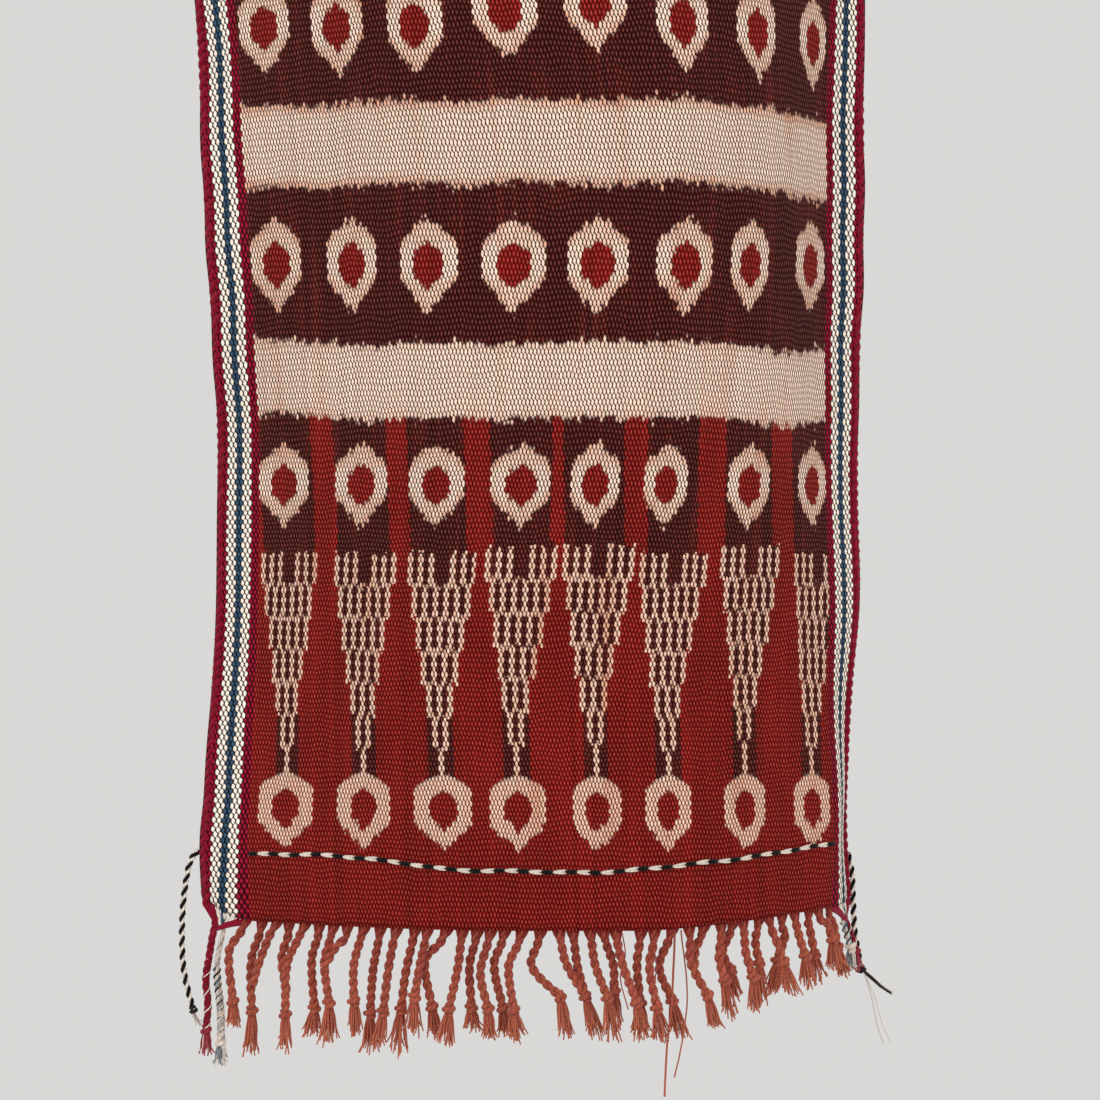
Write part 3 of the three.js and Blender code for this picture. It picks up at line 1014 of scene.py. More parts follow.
    def eyes(self, tree: Tree, spot: Spot) -> tuple[Num, Num, Num]:
        """Lays the eyes between the bands.

        Args:
            tree: The shader tree.
            spot: The place in the pattern.

        Returns:
            1 in an eye, 1 in its heart, and how much its rim is tinged.
        """
        place = (spot.height - self.first_band) / self.repeat
        number = place.floor().at_least(0.0)
        low_zone = spot.height < self.low_eye_top
        first_row = place < 0.0
        odd_row = (number * 0.5).fract() > 0.25
        sway = (tree.random(spot.column + number * 9.0, 3.5) - 0.5) * (number > 0.5)
        lows, mids, highs = (
            self.table(tree, spot.column, row) for row in (self.low_eyes, self.middle_eyes, self.high_eyes)
        )
        middle, half, lift = (
            tree.pick(low_zone, low, tree.pick((first_row + odd_row) > 0.5, mid, high))
            for low, mid, high in zip(lows, mids, highs)
        )
        level = tree.pick(first_row, self.middle_eye_level, (number + 0.5) * self.repeat + self.first_band)
        level = tree.pick(low_zone, self.low_eye_level, level)
        size = tree.pick(low_zone, self.low_eye_size, 1.0)
        off = (spot.inside - middle - sway * self.eye_sway).abs() / half
        up = spot.height - level - lift
        zone = spot.height > self.eye_floor
        slack = spot.feather * (1.3 - off).at_least(0.3)
        rim, inside = self.eye.fill(tree, off, up, slack, size)
        heart, _ = self.heart.fill(tree, off / self.heart_share, up, spot.feather * 0.6, size)
        tinge = tree.ramp(inside, 6.0, 0.0) * 0.7
        return rim * zone, heart * zone, tinge.at_least(tree.ramp(off, 0.62, 0.42) * 0.35)

    def rings(self, tree: Tree, spot: Spot) -> tuple[Num, Num, Num]:
        """Lays the rings near the hem.

        Args:
            tree: The shader tree.
            spot: The place in the pattern.

        Returns:
            1 in a ring, 1 in its hole, and the middle of the ring in warps.
        """
        middle, half, lift = self.table(tree, spot.column, self.ring_row)
        off = (spot.inside - middle).abs() / half
        up = spot.height - self.ring_level - lift * 0.5 + spot.feather * 0.3
        zone = spot.height < self.ring_top
        slack = spot.feather * self.ring_feather
        rim, _ = self.ring.fill(tree, off, up, slack)
        hole, _ = self.hole.fill(tree, off / self.hole_share, up, slack)
        return rim * zone, hole * zone, middle

    def spear_tops(self, tree: Tree, spot: Spot) -> Num:
        """The height at which a warp's spear ends and its block starts."""
        sway = (tree.random(spot.column, 12.5) - 0.5) * self.spear_top_sway
        return self.spear_top + sway + (spot.single - 0.5) * self.spear_top_feather

    def blocks(self, tree: Tree, spot: Spot) -> Num:
        """Lays the brown blocks between the spears and the lower pale band.

        Args:
            tree: The shader tree.
            spot: The place in the pattern.

        Returns:
            1 in a block.
        """
        middle, half, _ = self.table(tree, spot.column, self.block_row)
        lean = (self.block_middle - spot.height) * self.block_lean
        lean = lean.at_least(-self.block_lean_most).at_most(self.block_lean_most)
        block = (spot.inside - middle - lean).abs() < half
        return block * (spot.height > (self.spear_tops(tree, spot) - self.block_overlap))

    def spears(self, tree: Tree, spot: Spot, ring_middle: Num) -> tuple[Num, Num, Num]:
        """The spears between the rings and the blocks.

        Args:
            tree: The shader tree.
            spot: The place in the pattern.
            ring_middle: Middle of the ring below, in warps.

        Returns:
            The pale chains, the pale dashes between their levels, and the brown ground.
        """
        top_middle, _, _ = self.table(tree, spot.column, self.spear_row)
        fall = (self.spear_tops(tree, spot) - spot.height) / self.spear_step
        level = fall.floor().at_least(0.0).at_most(self.spear_levels - 1.0)
        share = (level + 0.5) / self.spear_levels
        middle = (tree.pick(share, ring_middle, top_middle) + 0.5).floor()
        side = (spot.inside - middle).abs()
        pace = self.chain_spacing / 2
        outermost = (self.spear_levels - 1.0 - level) * pace
        slot = (side / self.chain_spacing + (level * 0.5).fract() + 0.5).fract() - 0.5
        within = side < (outermost + self.chain_margin)
        hollow = (level < 0.5) * (side < pace)
        chain = (slot.abs() * self.chain_spacing < self.chain_half) * within * (1.0 - hollow)
        zone = (spot.height > self.spear_tip) * (fall > 0.0)
        edge = ((fall + 0.5).fract() - 0.5).abs() * self.spear_step
        reach = tree.random(spot.warp + level * 31.0, 5.5) * self.dash_spread + self.dash_shortest
        dash = tree.ramp(reach - edge, -0.3, 0.5) * within * (fall > 0.5) * self.dash_strength
        stem = tree.random(spot.column, 9.1) * self.stem_spread + self.stem_half
        brown = side < outermost.at_least(stem)
        return chain * zone, dash * zone, brown * zone

    def pattern(self, tree: Tree, spot: Spot) -> tuple[Socket, Socket, Num]:
        """Colours the field warp by warp.

        Args:
            tree: The shader tree.
            spot: The place in the pattern.

        Returns:
            The field's colour, the colour of its ground under the pale parts, and how pale it is.
        """
        pale, band_tinge = self.bands(tree, spot)
        rim, heart, eye_tinge = self.eyes(tree, spot)
        ring, hole, ring_middle = self.rings(tree, spot)
        chain, dash, spear = self.spears(tree, spot, ring_middle)
        dark = (spot.height > self.dark_ground_from).at_least(self.blocks(tree, spot)).at_least(spear)

        cloud = tree.noise(spot.warp * 0.05, spot.height * 0.02, 5.0)
        ticks = (spot.single - 0.5) * 0.4
        warm = tree.ramp(cloud + ticks, 0.45, 0.9)
        red = tree.blend(tree.ramp(cloud + ticks, 0.3, 0.75), DYES.red, DYES.red_deep)
        ground = tree.blend(dark, tree.blend(warm, DYES.brown_warm, DYES.brown), red)
        ground = tree.blend(heart.at_least(hole), red, ground)

        rim = rim * (1.0 - heart)
        ring = ring * (1.0 - hole)
        cream_share = pale.at_least(rim).at_least(ring).at_least(chain).at_least(dash)
        tinge = (band_tinge * pale).at_least(eye_tinge * rim).at_least(ring * 0.5).at_least(chain * 0.5)
        tinge = tinge.at_least(dash * 1.2)
        streak = tree.ramp(tree.noise(spot.warp * 0.06, spot.height * 0.006, 8.0), 0.5, 0.75) * 0.4
        share = (tinge + streak + ticks * 0.6).at_most(1.0).at_least(0.0)
        cream = tree.blend(share, DYES.peach, DYES.cream)
        return tree.blend(cream_share, cream, ground), ground, cream_share

    def borders(self, tree: Tree, warp: Num) -> tuple[Num, Num, Socket]:
        """Finds the striped borders beside the field.

        Args:
            tree: The shader tree.
            warp: The number of the warp that shows.

        Returns:
            1 in a border, 1 in its white stripes, and the colour of its stripes.
        """
        count = self.border_counts[-1]
        outside = (warp + count).at_most((self.field_warps + count - 1.0) - warp)
        _, white_from, blue_from, blue_to, white_to, inner_edge = (n - 0.5 for n in self.border_counts)
        in_border = outside < inner_edge
        white = (outside > white_from) * (outside < white_to)
        blue = (outside > blue_from) * (outside < blue_to)
        stripes = tree.blend(white, DYES.white, DYES.crimson)
        return in_border, white * (1.0 - blue), tree.blend(blue, DYES.blue, stripes)


# ---- meshes


def link(mesh: bpy.types.Mesh, name: str) -> Piece:
    """Puts a mesh in the scene.

    Args:
        mesh: The mesh.
        name: The object's name.

    Returns:
        The object.
    """
    made = bpy.data.objects.new(name, mesh)
    bpy.context.scene.collection.objects.link(made)
    return made


def register(piece: Piece, slot: Slot, *nodes: str) -> None:
    """Rides a piece on the shawl's body and names what it stands for.

    Args:
        piece: The finished piece.
        slot: The record's material slot; not used.
        *nodes: The model's nodes that the piece stands for.
    """
    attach(piece, BODY)
    if nodes:
        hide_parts(*nodes)
    triangles = sum(len(p.vertices) - 2 for p in piece.data.polygons)
    LOG.info("%s: %d triangles, for %s", piece.name, triangles, ", ".join(nodes) or "no node")


class Pitch(NamedTuple):
    """How far apart the picks lie at a height, as the length of two picks."""

    height: float
    length: float


@dataclass
class ClothSheet:
    """The whole cloth as one thin closed shell over the rod."""

    drape: Drape
    thickness: float = 1.7
    border_steps: int = 12
    field_steps: int = 76
    row_step: float = 3.9
    lift_fade: float = 22.0
    pick_samples: int = 1200
    ripple: float = 0.35
    pucker: float = 0.55
    pucker_from: float = 0.8
    pucker_width: float = 0.2
    flat_hem: float = 60.0
    pitches: tuple[Pitch, ...] = (
        Pitch(0, 4.5), Pitch(60, 4.3), Pitch(170, 4.3), Pitch(215, 4.75), Pitch(270, 5.2), Pitch(900, 5.2),
    )
    columns: list[tuple[float, float, float]] = field(default_factory=list)
    warps: np.ndarray = field(default_factory=lambda: np.zeros(0))

    def lay_columns(self, ikat: IkatCloth) -> None:
        """Sets the columns: shares of the left border, field and right border, with the warp there.

        Args:
            ikat: The cloth's pattern, which counts its warps.
        """
        for k in range(self.border_steps):
            self.columns.append((k / self.border_steps, 0.0, 0.0))
        for k in range(self.field_steps):
            self.columns.append((1.0, k / self.field_steps, 0.0))
        for k in range(self.border_steps + 1):
            self.columns.append((1.0, 1.0, k / self.border_steps))
        shares = np.array(self.columns)
        counts = np.array(ikat.border_counts)
        left = np.interp(shares[:, 0], ikat.border_shares, counts - counts[-1])
        right = np.interp(1 - shares[:, 2], ikat.border_shares, counts[-1] - counts)
        self.warps = left + shares[:, 1] * ikat.field_warps + right

    def across(self, width: float) -> np.ndarray:
        """Places of the columns across a width."""
        border = self.drape.border
        return np.array([a * border + b * (width - 2 * border) + c * border for a, b, c in self.columns])

    def picks(self, runs: np.ndarray) -> np.ndarray:
        """Counts pairs of picks along the cloth.

        Args:
            runs: Distances along the cloth from the front hem.

        Returns:
            The pairs of picks up to each run.
        """
        fine = np.linspace(0, self.drape.length, self.pick_samples)
        from_hem = self.drape.length / 2 - np.abs(fine - self.drape.length / 2)
        length = np.interp(from_hem, [p.height for p in self.pitches], [p.length for p in self.pitches])
        counted = np.concatenate([[0], np.cumsum(np.diff(fine) / (0.5 * (length[1:] + length[:-1])))])
        return np.interp(runs, fine, counted)

    def build(self, ikat: IkatCloth) -> Piece:
        """Builds the shell.

        Args:
            ikat: The cloth's pattern, which counts its warps.

        Returns:
            The cloth, one closed shell with its two UV maps.
        """
        drape = self.drape
        self.lay_columns(ikat)
        count = int(round(drape.length / self.row_step))
        base = np.linspace(0, drape.length, count + 1)
        columns = len(self.columns)
        middles, faces, runs = [], [], []
        hem_width = drape.width_at(0)
        full_lift = drape.hem_lift(self.across(hem_width), hem_width)
        for run in base:
            from_hem = min(run, drape.length - run)
            lift = full_lift * max(0.0, 1 - from_hem / self.lift_fade)
            shifted = run + lift if run < drape.length / 2 else run - lift
            row_points, row_faces = np.zeros((columns, 3)), np.zeros((columns, 3))
            for place in np.unique(np.round(shifted, 4)):
                chosen = np.abs(shifted - place) < 1e-3
                points, normals = drape.woven(self.across(drape.width_at(place)), float(place))
                row_points[chosen], row_faces[chosen] = points[chosen], normals[chosen]
            middles.append(row_points)
            faces.append(row_faces)
            runs.append(shifted)
        middle, face = np.array(middles), np.array(faces)
        middle += face * self.ripples(np.array(runs))[..., None]
        sides = [middle + face * side * self.thickness / 2 for side in (1, -1)]
        return self.shell(sides, np.array(runs))

    def ripples(self, runs: np.ndarray) -> np.ndarray:
        """Slight unevenness of a hand-woven cloth, more at its tight borders.

        Args:
            runs: Runs of the cloth's points, a row for each row of points.

        Returns:
            How far each point stands out of the cloth.
        """
        warps = np.broadcast_to(self.warps, runs.shape)
        middle = (warps.max() + warps.min()) / 2
        out = np.abs(warps - middle) / (warps.max() - middle)
        even = self.ripple * np.sin(runs * 0.043 + warps * 0.021) * np.sin(runs * 0.017 - warps * 0.013 + 1.3)
        pucker = self.pucker * np.sin(runs * 0.092 + np.sin(runs * 0.021) * 2 + np.sign(warps - middle))
        fade = smooth(np.minimum(runs, self.drape.length - runs) / self.flat_hem)
        return (even + pucker * smooth((out - self.pucker_from) / self.pucker_width)) * fade

    def shell(self, sides: list[np.ndarray], runs: np.ndarray) -> Piece:
        """Joins the two faces of the cloth round their edges.

        Args:
            sides: The face and the reverse, as rows of points in millimetres.
            runs: The run of each point.

        Returns:
            The closed shell.
        """
        rows, columns = runs.shape
        points = np.concatenate([s.reshape(-1, 3) for s in sides]) * MM
        offset = rows * columns
        index = np.arange(offset).reshape(rows, columns)
        a, b, c, d = index[:-1, :-1], index[:-1, 1:], index[1:, 1:], index[1:, :-1]
        front = np.stack([a, b, c, d], axis=-1).reshape(-1, 4)
        back = np.stack([a, d, c, b], axis=-1).reshape(-1, 4) + offset

        def rim(line: np.ndarray) -> np.ndarray:
            """Closes the wall along a line of face points."""
            return np.stack([line[1:], line[:-1], line[:-1] + offset, line[1:] + offset], axis=-1)

        rims = [rim(index[0]), rim(index[::-1, 0]), rim(index[-1, ::-1]), rim(index[:, -1])]
        quads = np.concatenate([front, back, *rims])
        mesh = bpy.data.meshes.new("shawl_cloth")
        mesh.from_pydata(points.tolist(), [], quads.tolist())
        warps = np.broadcast_to(self.warps, runs.shape).reshape(-1)
        flat = np.stack([warps, runs.reshape(-1)], axis=1)
        weave = np.stack([warps, self.picks(runs.reshape(-1))], axis=1)
        corners = quads.reshape(-1) % offset
        for name, values in (("weave", weave), ("flat", flat)):
            layer = mesh.uv_layers.new(name=name)
            layer.data.foreach_set("uv", values[corners].astype(np.float32).ravel())
        mesh.shade_smooth()
        mesh.update()
        return link(mesh, "shawl_cloth")

    def dress(self, piece: Piece, ikat: IkatCloth) -> None:
        """Args:
            piece: The cloth.
            ikat: Its pattern.
        """
        piece.data.materials.append(ikat.material())
        register(piece, Slot.CLOTH, "front_panel", "rod_fold", "back_panel")
        width = self.drape.at("width", self.drape.front_drop)
        width * MM


# ---- yarns


class Tone(Enum):
    """Yarn colours, in the order of the yarn material's table."""

    RUST = 0
    CRIMSON = 1
    WHITE = 2
    BLUE = 3
    BLACK = 4
    GREY = 5
    PINK = 6
    DEEP = 7


@dataclass(frozen=True)
class YarnFinish:
    """A twisted cotton yarn whose colour and wear are stored on the mesh."""

    name: str = "twisted_yarn"
    fresh: tuple[Colour, ...] = (
        DYES.rust, DYES.crimson, DYES.white, DYES.blue, DYES.black, DYES.grey, DYES.pink, DYES.rust_deep,
    )
    worn: tuple[Colour, ...] = (
        DYES.frayed, DYES.pink, DYES.white, DYES.grey, DYES.ash, DYES.white, DYES.white, DYES.rust,
    )
    twists_around: float = 2.0
    twist_pitch: float = 1.9
    hair_share: float = 0.3
    patchiness: float = 0.5
    deep_shade: float = 0.66
    shade_gain: float = 0.42
    unevenness: float = 0.16
    relief_rise: float = 0.14

    def material(self) -> Material:
        """Builds the yarn's material.

        Returns:
            The material, which reads the numbers stored on a swept yarn.
        """
        surface = Surface(self.name)
        tree = surface.tree
        along, around = tree.attribute("along"), tree.attribute("around")
        tone, wear, yarn = tree.attribute("tone"), tree.attribute("wear"), tree.attribute("yarn")
        tone = (tone + 0.5).floor()
        turns = around * self.twists_around + along / self.twist_pitch
        twist = (turns.fract() * (2 * math.pi)).cos() * 0.5 + 0.5
        hairs = tree.noise(around * 5.0, along * 0.35 + yarn * 3.1, 2.0, 3.0)
        relief = twist * (1.0 - self.hair_share) + hairs * self.hair_share
        fresh, worn = tree.steps(tone, self.fresh), tree.steps(tone, self.worn)
        patch = tree.noise(along * 0.12, yarn * 1.7, 6.0)
        share = (wear + (patch - 0.5) * self.patchiness).at_least(0.0).at_most(1.0)
        shade = self.deep_shade + relief * self.shade_gain
        shade = shade + (tree.random(yarn, 2.2) - 0.5) * self.unevenness
        colour = tree.scaled(tree.blend(share, worn, fresh), shade)
        rise = self.relief_rise
        return surface.finish(colour, 0.9, height=relief, depth=rise, sheen=0.15, specular=0.1)


@dataclass(frozen=True)
class Yarn:
    """One ply or yarn that follows a path in millimetres, and may wind round it."""

    path: Points
    radius: float | np.ndarray
    swing: float | np.ndarray = 0.0
    turn: float | np.ndarray = 0.0
    tone: Tone = Tone.RUST
    wear: tuple[float, float] = (0.0, 0.0)


def smooth_path(points: Sequence[Sequence[float]], step: float) -> Points:
    """Rounds a path through points and samples it evenly.

    Args:
        points: The points to pass through.
        step: Distance between samples.

    Returns:
        The samples as rows.
    """
    given = np.asarray(points, float)
    runs = path_runs(given)
    fine = np.linspace(0, runs[-1], max(3, int(round(runs[-1] / step)) + 1))
    return np.stack([[hermite(runs, given[:, axis], t) for t in fine] for axis in range(3)], axis=1)


def path_runs(path: Points) -> np.ndarray:
    """Distance along a path to each of its points."""
    return np.concatenate([[0], np.cumsum(np.linalg.norm(np.diff(path, axis=0), axis=1))])


def plied(
    path: Points, tones: Sequence[Tone], radius: float | np.ndarray, swing: float | np.ndarray, pitch: float,
    start: float, wear: tuple[float, float] = (0.0, 0.0),
) -> list[Yarn]:
    """Winds plies evenly round a path.

    Args:
        path: The cord's middle.
        tones: One tone for each ply.
        radius: The plies' radius.
        swing: From the cord's middle to each ply's middle.
        pitch: Length of one full turn.
        start: First ply's angle at the path's start, in radians.
        wear: Wear at the start and end.

    Returns:
        The plies.
    """
    turn = path_runs(path) / pitch * 2 * math.pi + start
    count = len(tones)
    return [Yarn(path, radius, swing, turn + 2 * math.pi * k / count, t, wear) for k, t in enumerate(tones)]


class Knot(NamedTuple):
    """A knot's size: from its middle to the winding ply, the ply's radius, and the knot's height."""

    radius: float
    tube: float
    tall: float


def knotted(centre: Points, along: Points, size: Knot, start: float, tone: Tone) -> Yarn:
    """A tight knot: one fat ply wound about the cord.

    Args:
        centre: Middle of the knot.
        along: The cord's direction there.
        size: The knot's size.
        start: Angle of the first winding, in radians.
        tone: The ply's tone.

    Returns:
        The winding ply.
    """
    side = np.cross(along, [0.3, 1.0, 0.1])
    side /= np.linalg.norm(side)
    other = np.cross(along, side)
    t = np.linspace(0, 1, KNOT_STEPS)
    angle = start + t * 2 * math.pi * KNOT_TURNS
    reach = size.radius * np.sin(np.pi * np.clip(t, 0.1, 0.9)) ** 0.4
    path = centre + np.outer((t - 0.5) * size.tall, along)
    path += (np.outer(np.cos(angle), side) + np.outer(np.sin(angle), other)) * reach[:, None]
    tube = size.tube * (0.75 + 0.25 * np.sin(np.pi * t))
    return Yarn(path, tube, tone=tone, wear=(0.25, 0.35))


def frayed(
    rng: np.random.Generator, start: Points, along: Points, length: float, spread: float, count: int,
    tones: Sequence[Tone], radius: float, neck: float = 1.3,
) -> list[Yarn]:
    """Loose yarns that leave a knot as a tuft.

    Args:
        rng: Source of unevenness.
        start: Where the tuft begins.
        along: The tuft's direction.
        length: Usual length of its yarns.
        spread: Radius of the tuft at its end.
        count: Number of yarns.
        tones: Tones to choose from.
        radius: The yarns' radius.
        neck: Radius of the tuft at its start.

    Returns:
        The yarns.
    """
    yarns = []
    for k in range(count):
        angle = 2 * math.pi * (k * TUFT_TURN + rng.uniform(0, 0.1))
        out = math.sqrt((k + 0.5) / count)
        aside = np.array([math.cos(angle), 0.55 * math.sin(angle), 0.0])
        reach = length * rng.uniform(0.72, 1.12) * (1 - 0.12 * out)
        bend = aside * spread * out
        points = [
            start + aside * neck * out,
            start + along * reach * 0.35 + aside * neck * out + bend * 0.3,
            start + along * reach * 0.72 + bend * 0.75 + rng.normal(0, 0.25, 3),
            start + along * reach + bend + rng.normal(0, 0.5, 3),
        ]
        path = smooth_path(points, 1.6)
        taper = np.linspace(1, 0.62, len(path))
        yarns.append(Yarn(path, radius * taper, tone=tones[k % len(tones)], wear=(0.3, rng.uniform(0.6, 1))))
    return yarns


class SweepTree:
    """A geometry tree that sweeps a round section along paths, each wound about its own middle."""

    FIELDS = ("radius", "swing", "turn", "tone", "wear", "yarn")
    INPUTS = {
        "Paths": "Geometry", "Sides": "Int", "Step": "Float", "Unevenness": "Float", "Seed": "Float",
        "Finish": "Material",
    }
    NOISE_SCALE = 90.0
    YARN_SEED = 7.7

    def __init__(self) -> None:
        """Builds the tree once for all yarns."""
        self.group = bpy.data.node_groups.new("swept_yarns", "GeometryNodeTree")
        self.tree = Tree(self.group)
        sockets = self.group.interface
        for name, kind in self.INPUTS.items():
            sockets.new_socket(name, in_out="INPUT", socket_type=f"NodeSocket{kind}")
        sockets.new_socket("Yarns", in_out="OUTPUT", socket_type="NodeSocketGeometry")
        self.inputs = self.tree.node("NodeGroupInput").outputs
        self.build()

    def stored(self, name: str) -> Num:
        """A number stored on the path's points."""
        return Num(self.tree, self.tree.node("GeometryNodeInputNamedAttribute", {"Name": name}).outputs[0])

    def marked(self, geometry: Socket, name: str, value: object) -> Socket:
        """Stores a number on the points of a curve."""
        inputs = {"Geometry": geometry, "Name": name, "Value": value}
        return self.tree.node("GeometryNodeStoreNamedAttribute", inputs, data_type="FLOAT").outputs[0]

    def vector(self, operation: str, *values: object) -> Socket:
        """One Vector Math node."""
        made = self.tree.node("ShaderNodeVectorMath", dict(enumerate(values)), operation=operation)
        return made.outputs[0]

    def build(self) -> None:
        """Adds the nodes: the paths are evened, wound, made to stray and swept with a circle."""
        tree, inputs = self.tree, self.inputs
        curves = tree.node("GeometryNodeMeshToCurve", {"Mesh": inputs["Paths"]}).outputs[0]
        evening = {"Curve": curves, "Length": inputs["Step"]}
        evened = tree.node("GeometryNodeResampleCurve", evening, mode="LENGTH").outputs[0]
        run = Num(tree, tree.node("GeometryNodeSplineParameter").outputs["Length"])
        marked = self.marked(evened, "along", run * (1 / MM))
        normal = tree.node("GeometryNodeInputNormal").outputs[0]
        tangent = tree.node("GeometryNodeInputTangent").outputs[0]
        binormal = self.vector("CROSS_PRODUCT", tangent, normal)
        turn, swing = self.stored("turn"), self.stored("swing")
        reaches = ((normal, turn.cos() * swing), (binormal, turn.sin() * swing))
        wound = self.vector("ADD", *(tree.scaled(axis, reach) for axis, reach in reaches))
        place = tree.scaled(tree.node("GeometryNodeInputPosition").outputs[0], self.NOISE_SCALE)
        seed = self.stored("yarn") * self.YARN_SEED + Num(tree, inputs["Seed"])
        noise = tree.node(
            "ShaderNodeTexNoise", {"Vector": place, "W": seed, "Scale": 1.0}, noise_dimensions="4D"
        )
        strayed = self.vector("SUBTRACT", noise.outputs[1], (0.5, 0.5, 0.5))
        offset = self.vector("ADD", wound, tree.scaled(strayed, inputs["Unevenness"]))
        moved = tree.node("GeometryNodeSetPosition", {"Geometry": marked, "Offset": offset})
        circle = tree.node("GeometryNodeCurvePrimitiveCircle", {"Resolution": inputs["Sides"], "Radius": 1.0})
        factor = tree.node("GeometryNodeSplineParameter").outputs["Factor"]
        sweeping = {
            "Curve": moved.outputs[0],
            "Profile Curve": self.marked(circle.outputs[0], "around", factor),
            "Scale": self.stored("radius"),
            "Fill Caps": True,
        }
        swept = tree.node("GeometryNodeCurveToMesh", sweeping)
        smoothed = tree.node("GeometryNodeSetShadeSmooth", {"Geometry": swept.outputs[0]})
        real = tree.node("GeometryNodeRealizeInstances", {"Geometry": smoothed.outputs[0]}).outputs[0]
        painted = tree.node("GeometryNodeSetMaterial", {"Geometry": real, "Material": inputs["Finish"]})
        tree.node("NodeGroupOutput", {0: painted.outputs[0]})

    def sweep(
        self, name: str, yarns: Sequence[Yarn], finish: Material, sides: int, step: float,
        unevenness: float, seed: float = 1.0,
    ) -> Piece:
        """Turns yarns into one mesh object.

        Args:
            name: The object's name.
            yarns: The yarns, in millimetres.
            finish: The yarns' material.
            sides: Sides of the round section.
            step: Distance between rings, in millimetres.
            unevenness: How far a yarn strays, in millimetres.
            seed: Seed of the straying.

        Returns:
            The finished object.
        """
        paths = bpy.data.meshes.new(f"{name}_paths")
        counts = [len(y.path) for y in yarns]
        starts = np.concatenate([[0], np.cumsum(counts)])
        edges = [(a + k, a + k + 1) for a, n in zip(starts, counts) for k in range(n - 1)]
        paths.from_pydata((np.concatenate([y.path for y in yarns]) * MM).tolist(), edges, [])
        columns: dict[str, list[np.ndarray]] = {f: [] for f in self.FIELDS}
        for number, yarn in enumerate(yarns):
            ones = np.ones(len(yarn.path))
            wear = np.linspace(*yarn.wear, len(yarn.path))
            values = (yarn.radius * MM, yarn.swing * MM, yarn.turn, yarn.tone.value, wear, number)
            for column, value in zip(columns.values(), values):
                column.append(value * ones)
        for field_name, values in columns.items():
            layer = paths.attributes.new(field_name, "FLOAT", "POINT")
            layer.data.foreach_set("value", np.concatenate(values).astype(np.float32))
        carrier = link(paths, f"{name}_carrier")
        modifier = carrier.modifiers.new("sweep", "NODES")
        modifier.node_group = self.group
        settings = {
            "Sides": sides, "Step": step * MM, "Unevenness": unevenness * MM, "Seed": seed, "Finish": finish,
        }
        for item in self.group.interface.items_tree:
            if item.name in settings:
                modifier[item.identifier] = settings[item.name]
        evaluated = carrier.evaluated_get(bpy.context.evaluated_depsgraph_get())
        mesh = bpy.data.meshes.new_from_object(evaluated)
        mesh.name = name
        bpy.data.objects.remove(carrier)
        return link(mesh, name)


@dataclass
class Workshop:
    """What every yarn piece is made with."""

    drape: Drape
    sweeper: SweepTree
    yarn: Material
    rng: np.random.Generator

    def on_cloth(self, across: float, height: float, half: Half) -> tuple[Points, Points]:
        """A point of the cloth's middle and the direction that its face looks in."""
        points, faces = self.drape.hanging(np.array([across]), height, half)
        return points[0], faces[0]


# ---- selvedges and twined lines


@dataclass
class Selvedge:
    """The rope-like crimson edge along one side of the cloth."""

    side: Side
    inset: float = 2.3
    ply_radius: float = 1.25
    swing: float = 1.15
    trim: float = 4.0
    row_step: float = 2.0

    def build(self, shop: Workshop, sheet: ClothSheet) -> Piece:
        """Winds two plies along the edge, one lobe for each pair of picks.

        Args:
            shop: What yarns are made with.
            sheet: The cloth, which counts its picks.

        Returns:
            The edge.
        """
        drape = shop.drape
        runs = np.arange(self.trim, drape.length - self.trim, self.row_step)
        path = []
        for run in runs:
            flat = self.inset if self.side is Side.LEFT else drape.width_at(run) - self.inset
            points, _ = drape.woven(np.array([flat]), float(run))
            path.append(points[0])
        line = np.array(path)
        turn = sheet.picks(runs) * math.pi
        yarns = [Yarn(line, self.ply_radius, self.swing, turn + k * math.pi, Tone.CRIMSON) for k in range(2)]
        name = f"{self.side.value}_selvedge"
        return shop.sweeper.sweep(name, yarns, shop.yarn, sides=7, step=1.15, unevenness=0.25)

    def dress(self, piece: Piece) -> None:
        """Rides the edge on the shawl."""
        register(piece, Slot.CRIMSON)


